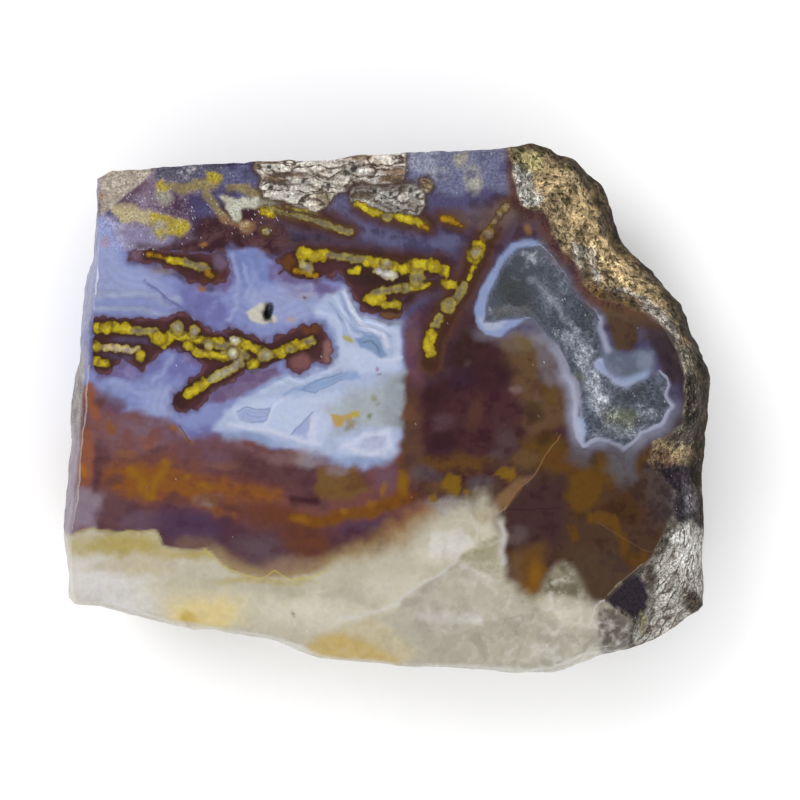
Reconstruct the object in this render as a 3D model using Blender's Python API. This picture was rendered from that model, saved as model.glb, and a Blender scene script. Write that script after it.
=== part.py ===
"""
Rough agate: a broken piece of banded chalcedony with one sawn and polished face.

The stone lies on its flat sawn back with the polished face up, +X to the right and +Y away
from the viewer as the face is looked down on. It is one natural solid. Its face is nearly
flat, with an unpolished strip that falls away along the top edge, a shallow quartz pocket and
one small open pit. Brown rind rolls over the right side, and the other sides are broken.
"""
import math

import bmesh
import bpy
import numpy as np

MM = 0.001

# Driving sizes, in millimetres
THICKNESS = 26.0
COLUMNS = 48
ROWS = 46
RIM_BANDS = 5
WALL_BANDS = 9

# The stations are measured from this point beside the middle of the stone's box
MIDDLE = (0.5, 0.0)

# Stations round the stone, clockwise from the top left corner of the face. Each gives the
# outline x and y, the edge of the polished face x and y, the height at which the side is
# widest, and how far lumps stand out there.
TOP_SIDE = (
    (-40.4, 32.4, -39.3, 31.6, 23.0, 0.3),
    (-38.2, 33.4, -37.9, 32.9, 24.5, 0.3),
    (-32.8, 33.8, -32.8, 33.3, 24.5, 0.3),
    (-24.1, 34.5, -24.1, 34.0, 24.5, 0.4),
    (-16.0, 35.0, -16.0, 34.4, 24.0, 0.5),
    (-9.0, 35.0, -9.0, 34.4, 24.0, 0.5),
    (-3.1, 35.7, -3.1, 35.1, 24.0, 0.5),
    (9.7, 36.3, 9.7, 35.8, 24.0, 0.4),
    (16.3, 36.6, 16.2, 36.1, 24.0, 0.4),
)
RIND_SIDE = (
    (18.0, 36.8, 17.8, 36.0, 24.0, 0.5),
    (20.6, 37.6, 18.5, 34.6, 22.0, 0.7),
    (23.2, 37.0, 18.9, 32.1, 19.0, 0.9),
    (25.1, 36.0, 19.2, 29.3, 17.5, 0.9),
    (27.0, 35.5, 21.1, 28.1, 17.0, 0.9),
    (29.2, 33.4, 22.6, 27.0, 17.0, 0.9),
    (31.0, 31.7, 23.2, 25.3, 16.0, 0.9),
    (31.8, 29.7, 23.7, 23.7, 16.0, 0.9),
    (32.7, 27.4, 25.3, 21.1, 16.0, 0.9),
    (33.1, 25.5, 26.7, 19.2, 16.0, 0.9),
    (34.3, 23.3, 27.7, 17.1, 16.0, 0.9),
    (36.4, 20.8, 29.8, 15.3, 16.0, 0.9),
    (38.9, 18.2, 32.6, 14.6, 17.0, 0.9),
    (42.0, 14.9, 37.9, 12.2, 17.0, 0.8),
    (43.4, 12.9, 39.8, 10.1, 17.0, 0.8),
    (43.9, 10.5, 41.0, 8.0, 17.0, 0.8),
    (45.2, 7.9, 41.6, 5.5, 17.0, 0.8),
    (45.9, 4.8, 41.9, 2.7, 16.0, 0.8),
    (46.1, 2.0, 41.9, 0.6, 16.0, 0.8),
    (46.1, -1.6, 41.4, -2.2, 16.0, 0.8),
    (45.7, -5.2, 38.6, -3.9, 15.0, 0.8),
    (45.4, -8.7, 36.3, -8.5, 16.0, 0.7),
    (45.3, -13.0, 36.1, -12.5, 17.0, 0.6),
    (45.4, -17.2, 39.5, -15.8, 16.0, 0.6),
    (45.3, -21.6, 38.6, -20.0, 15.0, 0.7),
    (45.5, -25.9, 35.8, -22.1, 14.0, 0.7),
    (45.4, -28.0, 33.3, -23.9, 14.0, 0.7),
    (43.2, -30.4, 30.9, -26.3, 14.0, 0.6),
    (41.0, -32.5, 30.9, -28.1, 15.0, 0.6),
    (38.5, -33.3, 31.6, -30.2, 16.0, 0.6),
)
BROKEN_SIDE = (
    (34.1, -33.9, 30.9, -32.3, 19.0, 0.5),
    (30.5, -34.9, 29.1, -33.0, 20.0, 0.4),
    (27.6, -35.9, 26.7, -34.4, 21.0, 0.4),
    (23.8, -37.4, 23.2, -35.7, 21.0, 0.4),
    (19.2, -37.6, 19.0, -35.8, 20.0, 0.4),
    (7.9, -37.0, 8.0, -35.6, 21.0, 0.4),
    (-3.4, -36.1, -3.2, -34.7, 21.0, 0.4),
    (-9.1, -35.7, -8.7, -34.3, 21.0, 0.4),
    (-11.9, -34.3, -11.3, -32.9, 21.0, 0.4),
    (-15.4, -32.7, -15.0, -31.5, 22.0, 0.4),
    (-20.3, -31.6, -20.0, -30.4, 22.0, 0.4),
    (-29.5, -30.6, -29.1, -29.4, 22.0, 0.4),
    (-40.0, -27.8, -39.6, -26.7, 22.0, 0.3),
)
LEFT_SIDE = (
    (-43.6, -27.5, -43.0, -26.5, 22.0, 0.3),
    (-44.5, -26.7, -43.5, -25.3, 21.0, 0.3),
    (-44.9, -21.4, -43.7, -21.1, 19.0, 0.3),
    (-45.7, -17.9, -43.7, -17.6, 18.0, 0.3),
    (-45.7, -15.8, -43.3, -14.8, 18.0, 0.3),
    (-45.3, -12.2, -43.0, -12.0, 18.0, 0.3),
    (-44.9, -8.0, -42.6, -7.8, 18.0, 0.3),
    (-44.8, -5.1, -42.3, -4.3, 17.0, 0.4),
    (-45.7, -2.2, -42.1, -1.5, 16.0, 0.6),
    (-45.3, 0.5, -41.9, 1.3, 16.0, 0.6),
    (-43.1, 6.6, -41.4, 6.9, 19.0, 0.3),
    (-42.7, 10.5, -41.2, 9.9, 20.0, 0.3),
    (-42.5, 14.7, -40.5, 13.6, 19.0, 0.3),
    (-41.9, 18.2, -40.3, 17.4, 20.0, 0.3),
    (-40.9, 21.3, -40.0, 20.9, 22.0, 0.3),
    (-40.3, 28.0, -39.6, 27.6, 23.0, 0.3),
)

# The back is tucked in under the outline, most on the right
BACK_TUCK = 3.2
BACK_TUCK_RIGHT = 2.2
CORE_HALF_X = 22.0
CORE_HALF_Y = 16.0

# Broad swells and the lumps are held back near the outline, whose own shape the stations
# give, and a broken ledge runs round the wall in stretches
SWELL = 1.3
LUMP_GAIN = 1.8
HELD_BAND = 3.0
LUMPS_HELD = 0.7
LEDGE_HEIGHT = 11.0
LEDGE_DEPTH = 1.5

# The unpolished strip along the top edge: where it starts at the left and at the right, how
# far it falls by the edge, and the height of its lumps
STRIP_START_LEFT = 22.5
STRIP_START_RIGHT = 28.0
STRIP_FALL = 1.6
STRIP_LUMPS = 0.35

# The quartz pocket: a line down its middle, its half width and its depth
POCKET_LINE = ((20.5, 19.0), (26.0, 12.0), (29.5, 4.0), (33.5, -1.5))
POCKET_HALF_WIDTH = 5.0
POCKET_DEPTH = 0.7

# Flat fractures: a point on each and the direction that it faces
FRACTURES = (
    ((36.0, -25.0, 24.9), (0.42, -0.30, 0.86)),
    ((38.0, -33.0, 9.0), (0.45, -0.80, -0.30)),
    ((20.0, -36.5, 9.0), (0.34, -0.86, -0.38)),
    ((10.0, -38.0, 14.0), (0.10, -0.98, -0.12)),
    ((-10.0, -35.0, 8.0), (-0.30, -0.88, -0.36)),
    ((-28.0, -31.0, 13.0), (-0.08, -0.96, -0.22)),
    ((-44.0, -16.0, 7.0), (-0.88, -0.25, -0.40)),
    ((-45.4, -12.0, 12.0), (-0.97, -0.08, -0.16)),
    ((-42.4, 12.0, 12.0), (-0.98, 0.06, -0.12)),
    ((-42.0, 20.0, 8.0), (-0.88, 0.30, -0.36)),
    ((-30.0, 33.0, 8.0), (-0.28, 0.88, -0.38)),
    ((-20.0, 34.6, 14.0), (-0.05, 0.99, -0.10)),
    ((5.0, 35.0, 10.0), (0.10, 0.90, -0.42)),
    ((12.0, 36.6, 13.0), (0.06, 0.98, -0.16)),
    ((43.6, 12.0, 8.0), (0.84, 0.36, -0.42)),
    ((45.4, -15.0, 8.0), (0.93, -0.04, -0.36)),
)

# The open pit in the face
PIT_CENTRE = (-16.2, 13.6)
PIT_SIZE = (1.2, 3.0, 3.2)
PIT_TURN = math.radians(-20.0)


def clear_scene():
    for old in list(bpy.data.objects):
        bpy.data.objects.remove(old, do_unlink=True)


def eased(value, start, end):
    """A smooth step from 0 at start to 1 at end."""
    t = np.clip((value - start) / (end - start), 0.0, 1.0)
    return t * t * (3.0 - 2.0 * t)


def lumps(points, size, seed):
    """Smooth random heights from -1 to 1: a random number at each corner of a lattice of
    cubes with the given side, blended between the corners with an eased weight."""
    place = points / size + 11.7 * seed
    cell = np.floor(place).astype(np.int64)
    part = place - cell
    part = part * part * (3.0 - 2.0 * part)
    total = np.zeros(len(points))
    for corner in range(8):
        bits = np.array([corner & 1, corner >> 1 & 1, corner >> 2 & 1])
        at = cell + bits
        key = (at[:, 0] * 73856093) ^ (at[:, 1] * 19349663) ^ (at[:, 2] * 83492791)
        key = (key ^ (key >> 13)) * 1274126177 & 0xFFFFFFFF
        key = (key ^ (key >> 16)) & 0xFFFF
        weight = np.where(bits, part, 1.0 - part).prod(axis=1)
        total += weight * key / 65535.0
    return 2.0 * total - 1.0


def side_table(side, next_side):
    """The stations of one side and, beside them, how far along the side each one lies."""
    table = np.array(side + next_side[:1])
    steps = np.linalg.norm(np.diff(table[:, 0:2], axis=0), axis=1)
    steps += np.linalg.norm(np.diff(table[:, 2:4], axis=0), axis=1)
    along = np.concatenate(([0.0], np.cumsum(steps)))
    return along / along[-1], table


def side_values(side, next_side, at):
    """The station values at the fractions `at` of one side, straight between stations."""
    along, table = side_table(side, next_side)
    return np.column_stack([np.interp(at, along, column) for column in table.T])


def face_height(xy):
    """Height of the face: level, then falling along the top strip, and dished at the
    pocket by its distance from the pocket's middle line."""
    x = xy[:, 0]
    y = xy[:, 1]
    at = np.column_stack((x, y, np.zeros(len(xy))))
    start = np.interp(x, (-40.0, 18.0), (STRIP_START_LEFT, STRIP_START_RIGHT))
    strip = eased(y, start, start + 12.0) * eased(x, 24.0, 18.0)
    height = THICKNESS - STRIP_FALL * strip
    height += STRIP_LUMPS * np.sqrt(strip) * lumps(at, 4.0, 1)
    line = np.array(POCKET_LINE)
    away = np.full(len(xy), 1e9)
    for start_point, end_point in zip(line[:-1], line[1:]):
        run = end_point - start_point
        t = np.clip((xy - start_point) @ run / (run @ run), 0.0, 1.0)
        near = start_point + t[:, None] * run
        away = np.minimum(away, np.linalg.norm(xy - near, axis=1))
    height -= POCKET_DEPTH * eased(away, POCKET_HALF_WIDTH, 0.5 * POCKET_HALF_WIDTH)
    return height


def face_patch(u, v):
    """The polished face inside its edge: top and bottom edges blended across, left and
    right edges blended along, less the blend of the four corners."""
    top = side_values(TOP_SIDE, RIND_SIDE, u)[:, 2:4]
    bottom = side_values(BROKEN_SIDE, LEFT_SIDE, 1.0 - u)[:, 2:4]
    left = side_values(LEFT_SIDE, TOP_SIDE, v)[:, 2:4]
    right = side_values(RIND_SIDE, BROKEN_SIDE, 1.0 - v)[:, 2:4]
    top_left = np.array(TOP_SIDE[0][2:4])
    top_right = np.array(RIND_SIDE[0][2:4])
    bottom_right = np.array(BROKEN_SIDE[0][2:4])
    bottom_left = np.array(LEFT_SIDE[0][2:4])
    u = u[:, None]
    v = v[:, None]
    corners = (1 - u) * (1 - v) * bottom_left + u * (1 - v) * bottom_right
    corners += (1 - u) * v * top_left + u * v * top_right
    xy = (1 - v) * bottom + v * top + (1 - u) * left + u * right - corners
    return np.column_stack((xy, face_height(xy)))


def side_wall(u, v, band):
    """The sides: each column runs from the edge of the face out and down to the outline in
    RIM_BANDS steps, then down and in to the back in WALL_BANDS steps, with lumps on it."""
    stations = np.zeros((len(u), 6))
    sides = (
        (v > 0.999, u, TOP_SIDE, RIND_SIDE),
        (u > 0.999, 1.0 - v, RIND_SIDE, BROKEN_SIDE),
        (v < 0.001, 1.0 - u, BROKEN_SIDE, LEFT_SIDE),
        (u < 0.001, v, LEFT_SIDE, TOP_SIDE),
    )
    for on_side, at, side, next_side in sides:
        stations[on_side] = side_values(side, next_side, at[on_side])
    outline = stations[:, 0:2]
    edge = stations[:, 2:4]
    shoulder = stations[:, 4]
    lump = stations[:, 5]
    core = np.clip(outline, (-CORE_HALF_X, -CORE_HALF_Y), (CORE_HALF_X, CORE_HALF_Y))
    outward = outline - core
    outward /= np.linalg.norm(outward, axis=1)[:, None]
    tuck = BACK_TUCK + BACK_TUCK_RIGHT * outward[:, 0]

    out = np.clip(band / RIM_BANDS, 0.0, 1.0)
    down = np.clip((band - RIM_BANDS) / WALL_BANDS, 0.0, 1.0)
    inward = tuck * (0.72 * down ** 2 + 0.28 * down ** 8)
    xy = edge + (outline - edge) * out[:, None] - outward * inward[:, None]
    top = face_height(edge)
    z = top + (shoulder - top) * (0.55 * out + 0.45 * out ** 3)
    z *= 1.0 - down

    points = np.column_stack((xy, z))
    held = 1.0 - LUMPS_HELD * eased(np.abs(z - shoulder), HELD_BAND, 0.0)
    spread = LUMP_GAIN * lump * eased(out, 0.0, 0.5) * eased(down, 1.0, 0.8) * held
    push = spread * (0.6 * lumps(points, 7.0, 2) + 0.5 * lumps(points, 3.4, 3))
    push += SWELL * lumps(points, 17.0, 6) * eased(down, 0.0, 0.3) * held
    step = LEDGE_HEIGHT + 3.0 * lumps(points * (1.0, 1.0, 0.0), 14.0, 4)
    ledge = eased(z, step + 0.6, step - 1.2) * eased(lumps(points, 16.0, 5), -0.1, 0.5)
    push -= LEDGE_DEPTH * ledge * eased(down, 0.1, 0.3) * eased(down, 1.0, 0.8)
    facing = np.column_stack((outward * out[:, None], 1.0 - out))
    facing /= np.linalg.norm(facing, axis=1)[:, None]
    return points + facing * push[:, None]


def fractured(points):
    """Moves whatever stands outside a flat fracture back onto it."""
    for place, facing in FRACTURES:
        normal = np.array(facing) / np.linalg.norm(facing)
        outside = np.maximum((points - np.array(place)) @ normal, 0.0)
        points = points - outside[:, None] * normal
    points[:, 2] = np.maximum(points[:, 2], 0.0)
    return points


def stone_mesh():
    """A block whose top and sides are cut into a grid, with every point then moved to its
    place on the stone. The back stays one flat face."""
    bm = bmesh.new()
    bmesh.ops.create_cube(bm, size=1.0)
    bands = RIM_BANDS + WALL_BANDS
    back = [face for face in bm.faces if face.normal.z < -0.9]
    bmesh.ops.delete(bm, geom=back, context="FACES_ONLY")
    for axis, steps in enumerate((COLUMNS, ROWS, bands)):
        whole = [e for e in bm.edges if abs(e.verts[0].co[axis] - e.verts[1].co[axis]) > 0.99]
        bmesh.ops.subdivide_edges(bm, edges=whole, cuts=steps - 1, use_grid_fill=True)

    block = np.array([vert.co[:] for vert in bm.verts]) + 0.5
    u, v, w = block.T
    band = np.round((1.0 - w) * bands)
    points = np.empty_like(block)
    on_face = band < 0.5
    points[on_face] = face_patch(u[on_face], v[on_face])
    points[~on_face] = side_wall(u[~on_face], v[~on_face], band[~on_face])
    points = fractured(points)
    points[band > bands - 0.5, 2] = 0.0
    points[:, 0:2] -= MIDDLE
    for vert, point in zip(bm.verts, points):
        vert.co = point * MM

    rim = [edge for edge in bm.edges if edge.is_boundary]
    bmesh.ops.contextual_create(bm, geom=rim)
    bmesh.ops.recalc_face_normals(bm, faces=bm.faces)
    mesh = bpy.data.meshes.new("agate")
    bm.to_mesh(mesh)
    bm.free()
    return mesh


def pit_cutter():
    """A narrow egg that reaches down into the face."""
    bpy.ops.mesh.primitive_uv_sphere_add(segments=12, ring_count=8, radius=0.5)
    cutter = bpy.context.object
    cutter.name = "pit_cutter"
    cutter.scale = [size * MM for size in PIT_SIZE]
    cutter.rotation_euler = (0.0, 0.0, PIT_TURN)
    cutter.location = (PIT_CENTRE[0] * MM, PIT_CENTRE[1] * MM, THICKNESS * MM)
    cutter.hide_render = True
    cutter.display_type = "WIRE"
    return cutter


def agate_material():
    material = bpy.data.materials.new("polished_agate")
    material.use_nodes = True
    shader = material.node_tree.nodes["Principled BSDF"]
    shader.inputs["Base Color"].default_value = (0.20, 0.14, 0.20, 1.0)
    shader.inputs["Roughness"].default_value = 0.3
    shader.inputs["Metallic"].default_value = 0.0
    return material


def put_in(collection, item):
    for other in item.users_collection:
        other.objects.unlink(item)
    collection.objects.link(item)


def build():
    clear_scene()
    stone_set = bpy.data.collections.new("rough_agate")
    cutter_set = bpy.data.collections.new("cutters")
    bpy.context.scene.collection.children.link(stone_set)
    bpy.context.scene.collection.children.link(cutter_set)

    stone = bpy.data.objects.new("agate", stone_mesh())
    stone.data.materials.append(agate_material())
    stone_set.objects.link(stone)

    cutter = pit_cutter()
    put_in(cutter_set, cutter)
    pit = stone.modifiers.new("open_pit", "BOOLEAN")
    pit.operation = "DIFFERENCE"
    pit.solver = "EXACT"
    pit.object = cutter


build()
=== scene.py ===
"""
Rough agate: a broken piece of stick agate with one sawn and polished face.

The stone lies on its sawn back with the face up. One closed surface stands for the whole
stone. Its colours are laid on that surface zone by zone, in the order in which they overlap.
"""

import math

import bpy
import numpy as np
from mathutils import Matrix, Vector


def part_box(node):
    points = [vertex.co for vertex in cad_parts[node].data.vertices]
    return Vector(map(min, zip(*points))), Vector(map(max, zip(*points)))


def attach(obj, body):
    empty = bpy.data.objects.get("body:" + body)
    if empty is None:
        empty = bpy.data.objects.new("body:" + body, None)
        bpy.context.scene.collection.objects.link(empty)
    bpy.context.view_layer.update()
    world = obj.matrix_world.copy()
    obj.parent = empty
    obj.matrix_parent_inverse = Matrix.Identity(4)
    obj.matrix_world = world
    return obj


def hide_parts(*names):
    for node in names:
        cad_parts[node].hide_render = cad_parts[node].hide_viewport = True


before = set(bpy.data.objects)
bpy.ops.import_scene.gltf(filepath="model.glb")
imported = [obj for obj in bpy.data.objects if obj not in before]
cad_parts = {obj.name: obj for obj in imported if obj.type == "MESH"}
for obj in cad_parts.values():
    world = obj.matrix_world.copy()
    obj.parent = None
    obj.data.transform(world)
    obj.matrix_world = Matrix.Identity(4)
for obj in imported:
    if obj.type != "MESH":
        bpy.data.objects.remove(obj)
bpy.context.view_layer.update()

# The stone. A natural piece of chalcedony and quartz, broken from its nodule, with one face
# sawn and polished, a flat sawn back, rind down its right side and broken stone on the others.
# Lengths are in millimetres until the mesh is made.
MM = 0.001
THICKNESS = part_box("agate")[1].z / MM

# The surface: columns and rows of the face, rows of its rim and of the wall below the rim
FACE_COLUMNS = 288
FACE_ROWS = 216
RIM_ROWS = 16
WALL_ROWS = 12

# The lowest part of the face, plain quartz, takes fewer rows than its share of the height
COARSE_ROWS = 0.30
COARSE_HEIGHT = 0.36

# Every fourth column goes on across the back, from a ring set in from the edge by this much
BACK_STEP = 4
BACK_INSET = 1.0

# The stations are measured from this point beside the middle of the stone's box
MIDDLE = (0.5, 0.0)

# Stations round the stone, clockwise from the top left corner of the face. Each gives the
# outline x and y, the edge of the polished face x and y, the height at which the side is
# widest, and how far lumps stand out there.
TOP_SIDE = (
    (-40.4, 32.4, -39.3, 31.6, 23.0, 0.3),
    (-38.2, 33.4, -37.9, 32.9, 24.5, 0.3),
    (-32.8, 33.8, -32.8, 33.3, 24.5, 0.3),
    (-24.1, 34.5, -24.1, 34.0, 24.5, 0.4),
    (-16.0, 35.0, -16.0, 34.4, 24.0, 0.5),
    (-9.0, 35.0, -9.0, 34.4, 24.0, 0.5),
    (-3.1, 35.7, -3.1, 35.1, 24.0, 0.5),
    (9.7, 36.3, 9.7, 35.8, 24.0, 0.4),
    (16.3, 36.6, 16.2, 36.1, 24.0, 0.4),
)
RIND_SIDE = (
    (18.0, 36.8, 17.8, 36.0, 24.0, 0.5),
    (20.6, 37.6, 18.5, 34.6, 22.0, 0.7),
    (23.2, 37.0, 18.9, 32.1, 19.0, 0.9),
    (25.1, 36.0, 19.2, 29.3, 17.5, 0.9),
    (27.0, 35.5, 21.1, 28.1, 17.0, 0.9),
    (29.2, 33.4, 22.6, 27.0, 17.0, 0.9),
    (31.0, 31.7, 23.2, 25.3, 16.0, 0.9),
    (31.8, 29.7, 23.7, 23.7, 16.0, 0.9),
    (32.7, 27.4, 25.3, 21.1, 16.0, 0.9),
    (33.1, 25.5, 26.7, 19.2, 16.0, 0.9),
    (34.3, 23.3, 27.7, 17.1, 16.0, 0.9),
    (36.4, 20.8, 29.8, 15.3, 16.0, 0.9),
    (38.9, 18.2, 32.6, 14.6, 17.0, 0.9),
    (42.0, 14.9, 37.9, 12.2, 17.0, 0.8),
    (43.4, 12.9, 39.8, 10.1, 17.0, 0.8),
    (43.9, 10.5, 41.0, 8.0, 17.0, 0.8),
    (45.2, 7.9, 41.6, 5.5, 17.0, 0.8),
    (45.9, 4.8, 41.9, 2.7, 16.0, 0.8),
    (46.1, 2.0, 41.9, 0.6, 16.0, 0.8),
    (46.1, -1.6, 41.4, -2.2, 16.0, 0.8),
    (45.7, -5.2, 38.6, -3.9, 15.0, 0.8),
    (45.4, -8.7, 36.3, -8.5, 16.0, 0.7),
    (45.3, -13.0, 36.1, -12.5, 17.0, 0.6),
    (45.4, -17.2, 39.5, -15.8, 16.0, 0.6),
    (45.3, -21.6, 38.6, -20.0, 15.0, 0.7),
    (45.5, -25.9, 35.8, -22.1, 14.0, 0.7),
    (45.4, -28.0, 33.3, -23.9, 14.0, 0.7),
    (43.2, -30.4, 30.9, -26.3, 14.0, 0.6),
    (41.0, -32.5, 30.9, -28.1, 15.0, 0.6),
    (38.5, -33.3, 31.6, -30.2, 16.0, 0.6),
)
BROKEN_SIDE = (
    (34.1, -33.9, 30.9, -32.3, 19.0, 0.5),
    (30.5, -34.9, 29.1, -33.0, 20.0, 0.4),
    (27.6, -35.9, 26.7, -34.4, 21.0, 0.4),
    (23.8, -37.4, 23.2, -35.7, 21.0, 0.4),
    (19.2, -37.6, 19.0, -35.8, 20.0, 0.4),
    (7.9, -37.0, 8.0, -35.6, 21.0, 0.4),
    (-3.4, -36.1, -3.2, -34.7, 21.0, 0.4),
    (-9.1, -35.7, -8.7, -34.3, 21.0, 0.4),
    (-11.9, -34.3, -11.3, -32.9, 21.0, 0.4),
    (-15.4, -32.7, -15.0, -31.5, 22.0, 0.4),
    (-20.3, -31.6, -20.0, -30.4, 22.0, 0.4),
    (-29.5, -30.6, -29.1, -29.4, 22.0, 0.4),
    (-40.0, -27.8, -39.6, -26.7, 22.0, 0.3),
)
LEFT_SIDE = (
    (-43.6, -27.5, -43.0, -26.5, 22.0, 0.3),
    (-44.5, -26.7, -43.5, -25.3, 21.0, 0.3),
    (-44.9, -21.4, -43.7, -21.1, 19.0, 0.3),
    (-45.7, -17.9, -43.7, -17.6, 18.0, 0.3),
    (-45.7, -15.8, -43.3, -14.8, 18.0, 0.3),
    (-45.3, -12.2, -43.0, -12.0, 18.0, 0.3),
    (-44.9, -8.0, -42.6, -7.8, 18.0, 0.3),
    (-44.8, -5.1, -42.3, -4.3, 17.0, 0.4),
    (-45.7, -2.2, -42.1, -1.5, 16.0, 0.6),
    (-45.3, 0.5, -41.9, 1.3, 16.0, 0.6),
    (-43.1, 6.6, -41.4, 6.9, 19.0, 0.3),
    (-42.7, 10.5, -41.2, 9.9, 20.0, 0.3),
    (-42.5, 14.7, -40.5, 13.6, 19.0, 0.3),
    (-41.9, 18.2, -40.3, 17.4, 20.0, 0.3),
    (-40.9, 21.3, -40.0, 20.9, 22.0, 0.3),
    (-40.3, 28.0, -39.6, 27.6, 23.0, 0.3),
)

# The back is tucked in under the outline, most on the right. Part of the tuck is round and
# part is sharp, and the sides lean out from a core with these half sizes.
BACK_TUCK = 3.2
BACK_TUCK_RIGHT = 2.2
ROUND_TUCK = 0.72
SHARP_TUCK = 0.28
CORE_HALF = (22.0, 16.0)

# Below the face's edge a side falls evenly for one share and ever more steeply for the other
EVEN_FALL = 0.55
STEEP_FALL = 0.45

# Broad swells and lumps of the sides, with their sizes, held back near the outline
SWELL = 1.3
SWELL_SIZE = 17.0
LUMP_GAIN = 1.8
BIG_LUMP = 7.0
SMALL_LUMP = 3.4
HELD_BAND = 3.0
LUMPS_HELD = 0.7

# The broken ledge: its height, how far it wanders up and down, and how deep it steps in
LEDGE_HEIGHT = 11.0
LEDGE_WANDER = 3.0
LEDGE_DEPTH = 1.5

# The unpolished strip along the top edge: where it starts at its left and right ends, how far
# it takes to fall, where it stops at the right, how deep it falls, and its lumps
STRIP_ENDS = (-40.0, 18.0)
STRIP_STARTS = (22.5, 28.0)
STRIP_RUN = 12.0
STRIP_STOP = 24.0
STRIP_FALL = 1.6
STRIP_LUMPS = 0.35

# The dished quartz pocket: a line down its middle, its half width and its depth
POCKET_LINE = ((20.5, 19.0), (26.0, 12.0), (29.5, 4.0), (33.5, -1.5))
POCKET_HALF_WIDTH = 5.0
POCKET_DEPTH = 0.7

# Flat fractures: a point on each and the direction that it faces
FRACTURES = (
    ((36.0, -25.0, 24.9), (0.42, -0.30, 0.86)),
    ((38.0, -33.0, 9.0), (0.45, -0.80, -0.30)),
    ((20.0, -36.5, 9.0), (0.34, -0.86, -0.38)),
    ((10.0, -38.0, 14.0), (0.10, -0.98, -0.12)),
    ((-10.0, -35.0, 8.0), (-0.30, -0.88, -0.36)),
    ((-28.0, -31.0, 13.0), (-0.08, -0.96, -0.22)),
    ((-44.0, -16.0, 7.0), (-0.88, -0.25, -0.40)),
    ((-45.4, -12.0, 12.0), (-0.97, -0.08, -0.16)),
    ((-42.4, 12.0, 12.0), (-0.98, 0.06, -0.12)),
    ((-42.0, 20.0, 8.0), (-0.88, 0.30, -0.36)),
    ((-30.0, 33.0, 8.0), (-0.28, 0.88, -0.38)),
    ((-20.0, 34.6, 14.0), (-0.05, 0.99, -0.10)),
    ((5.0, 35.0, 10.0), (0.10, 0.90, -0.42)),
    ((12.0, 36.6, 13.0), (0.06, 0.98, -0.16)),
    ((43.6, 12.0, 8.0), (0.84, 0.36, -0.42)),
    ((45.4, -15.0, 8.0), (0.93, -0.04, -0.36)),
)

# The open pit in the face: its middle, half width, half length, turn and depth, and where its
# wall starts and ends, as shares of its half sizes
PIT_CENTRE = (-16.2, 13.6)
PIT_HALF_WIDTH = 0.55
PIT_HALF_LENGTH = 1.35
PIT_TURN = math.radians(-22.0)
PIT_DEPTH = 1.5
PIT_LIP = 1.15
PIT_FLOOR = 0.55

# Fine relief: the grain of the rind, of the broken sides and of the top strip, and how far
# the outline wobbles
RIND_GRAIN = 0.34
SIDE_GRAIN = 0.16
STRIP_GRAIN = 0.12
OUTLINE_WOBBLE = 0.14


def eased(value, start, end):
    """A smooth step from 0 at start to 1 at end."""
    t = np.clip((value - start) / (end - start), 0.0, 1.0)
    return t * t * (3.0 - 2.0 * t)


def lumps(points, size, seed):
    """Smooth random heights from -1 to 1: a number mixed from the place and the seed at each
    corner of a lattice of cubes with the given side, blended between the corners with an
    eased weight."""
    place = points / size + 11.7 * seed
    cell = np.floor(place).astype(np.int64)
    part = place - cell
    part = part * part * (3.0 - 2.0 * part)
    total = np.zeros(len(points))
    for corner in range(8):
        bits = np.array([corner & 1, corner >> 1 & 1, corner >> 2 & 1])
        at = cell + bits
        key = (at[:, 0] * 73856093) ^ (at[:, 1] * 19349663) ^ (at[:, 2] * 83492791)
        key = (key ^ (key >> 13)) * 1274126177 & 0xFFFFFFFF
        key = (key ^ (key >> 16)) & 0xFFFF
        weight = np.where(bits, part, 1.0 - part).prod(axis=1)
        total += weight * key / 65535.0
    return 2.0 * total - 1.0


def side_values(side, next_side, at):
    """The station values at the fractions `at` of one side, straight between stations. How
    far along a station lies is the mean of its way along the outline and along the edge."""
    table = np.array(side + next_side[:1])
    steps = np.linalg.norm(np.diff(table[:, 0:2], axis=0), axis=1)
    steps += np.linalg.norm(np.diff(table[:, 2:4], axis=0), axis=1)
    along = np.concatenate(([0.0], np.cumsum(steps)))
    return np.column_stack([np.interp(at, along / along[-1], column) for column in table.T])


def pit_reach(xy):
    """How far each place lies from the middle of the pit, as a share of the pit's ellipse."""
    away = xy - PIT_CENTRE
    across = away[:, 0] * math.cos(PIT_TURN) + away[:, 1] * math.sin(PIT_TURN)
    along = away[:, 1] * math.cos(PIT_TURN) - away[:, 0] * math.sin(PIT_TURN)
    return np.hypot(across / PIT_HALF_WIDTH, along / PIT_HALF_LENGTH)


def path_distance(place, path):
    """Distance from each place to the nearest point of a path of straight runs. A path is a
    row of numbers, across and down by turns."""
    line = np.reshape(path, (-1, 2)).astype(float)
    away = np.full(len(place), np.inf)
    for start, end in zip(line[:-1], line[1:]):
        run = end - start
        t = np.clip((place - start) @ run / (run @ run), 0.0, 1.0)
        away = np.minimum(away, np.linalg.norm(place - start - t[:, None] * run, axis=1))
    return away


def strip_share(xy):
    """How far each place lies up the unpolished strip: 0 below it, 1 at the top edge."""
    start = np.interp(xy[:, 0], STRIP_ENDS, STRIP_STARTS)
    return eased(xy[:, 1], start, start + STRIP_RUN) * eased(xy[:, 0], STRIP_STOP, STRIP_ENDS[1])


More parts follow.
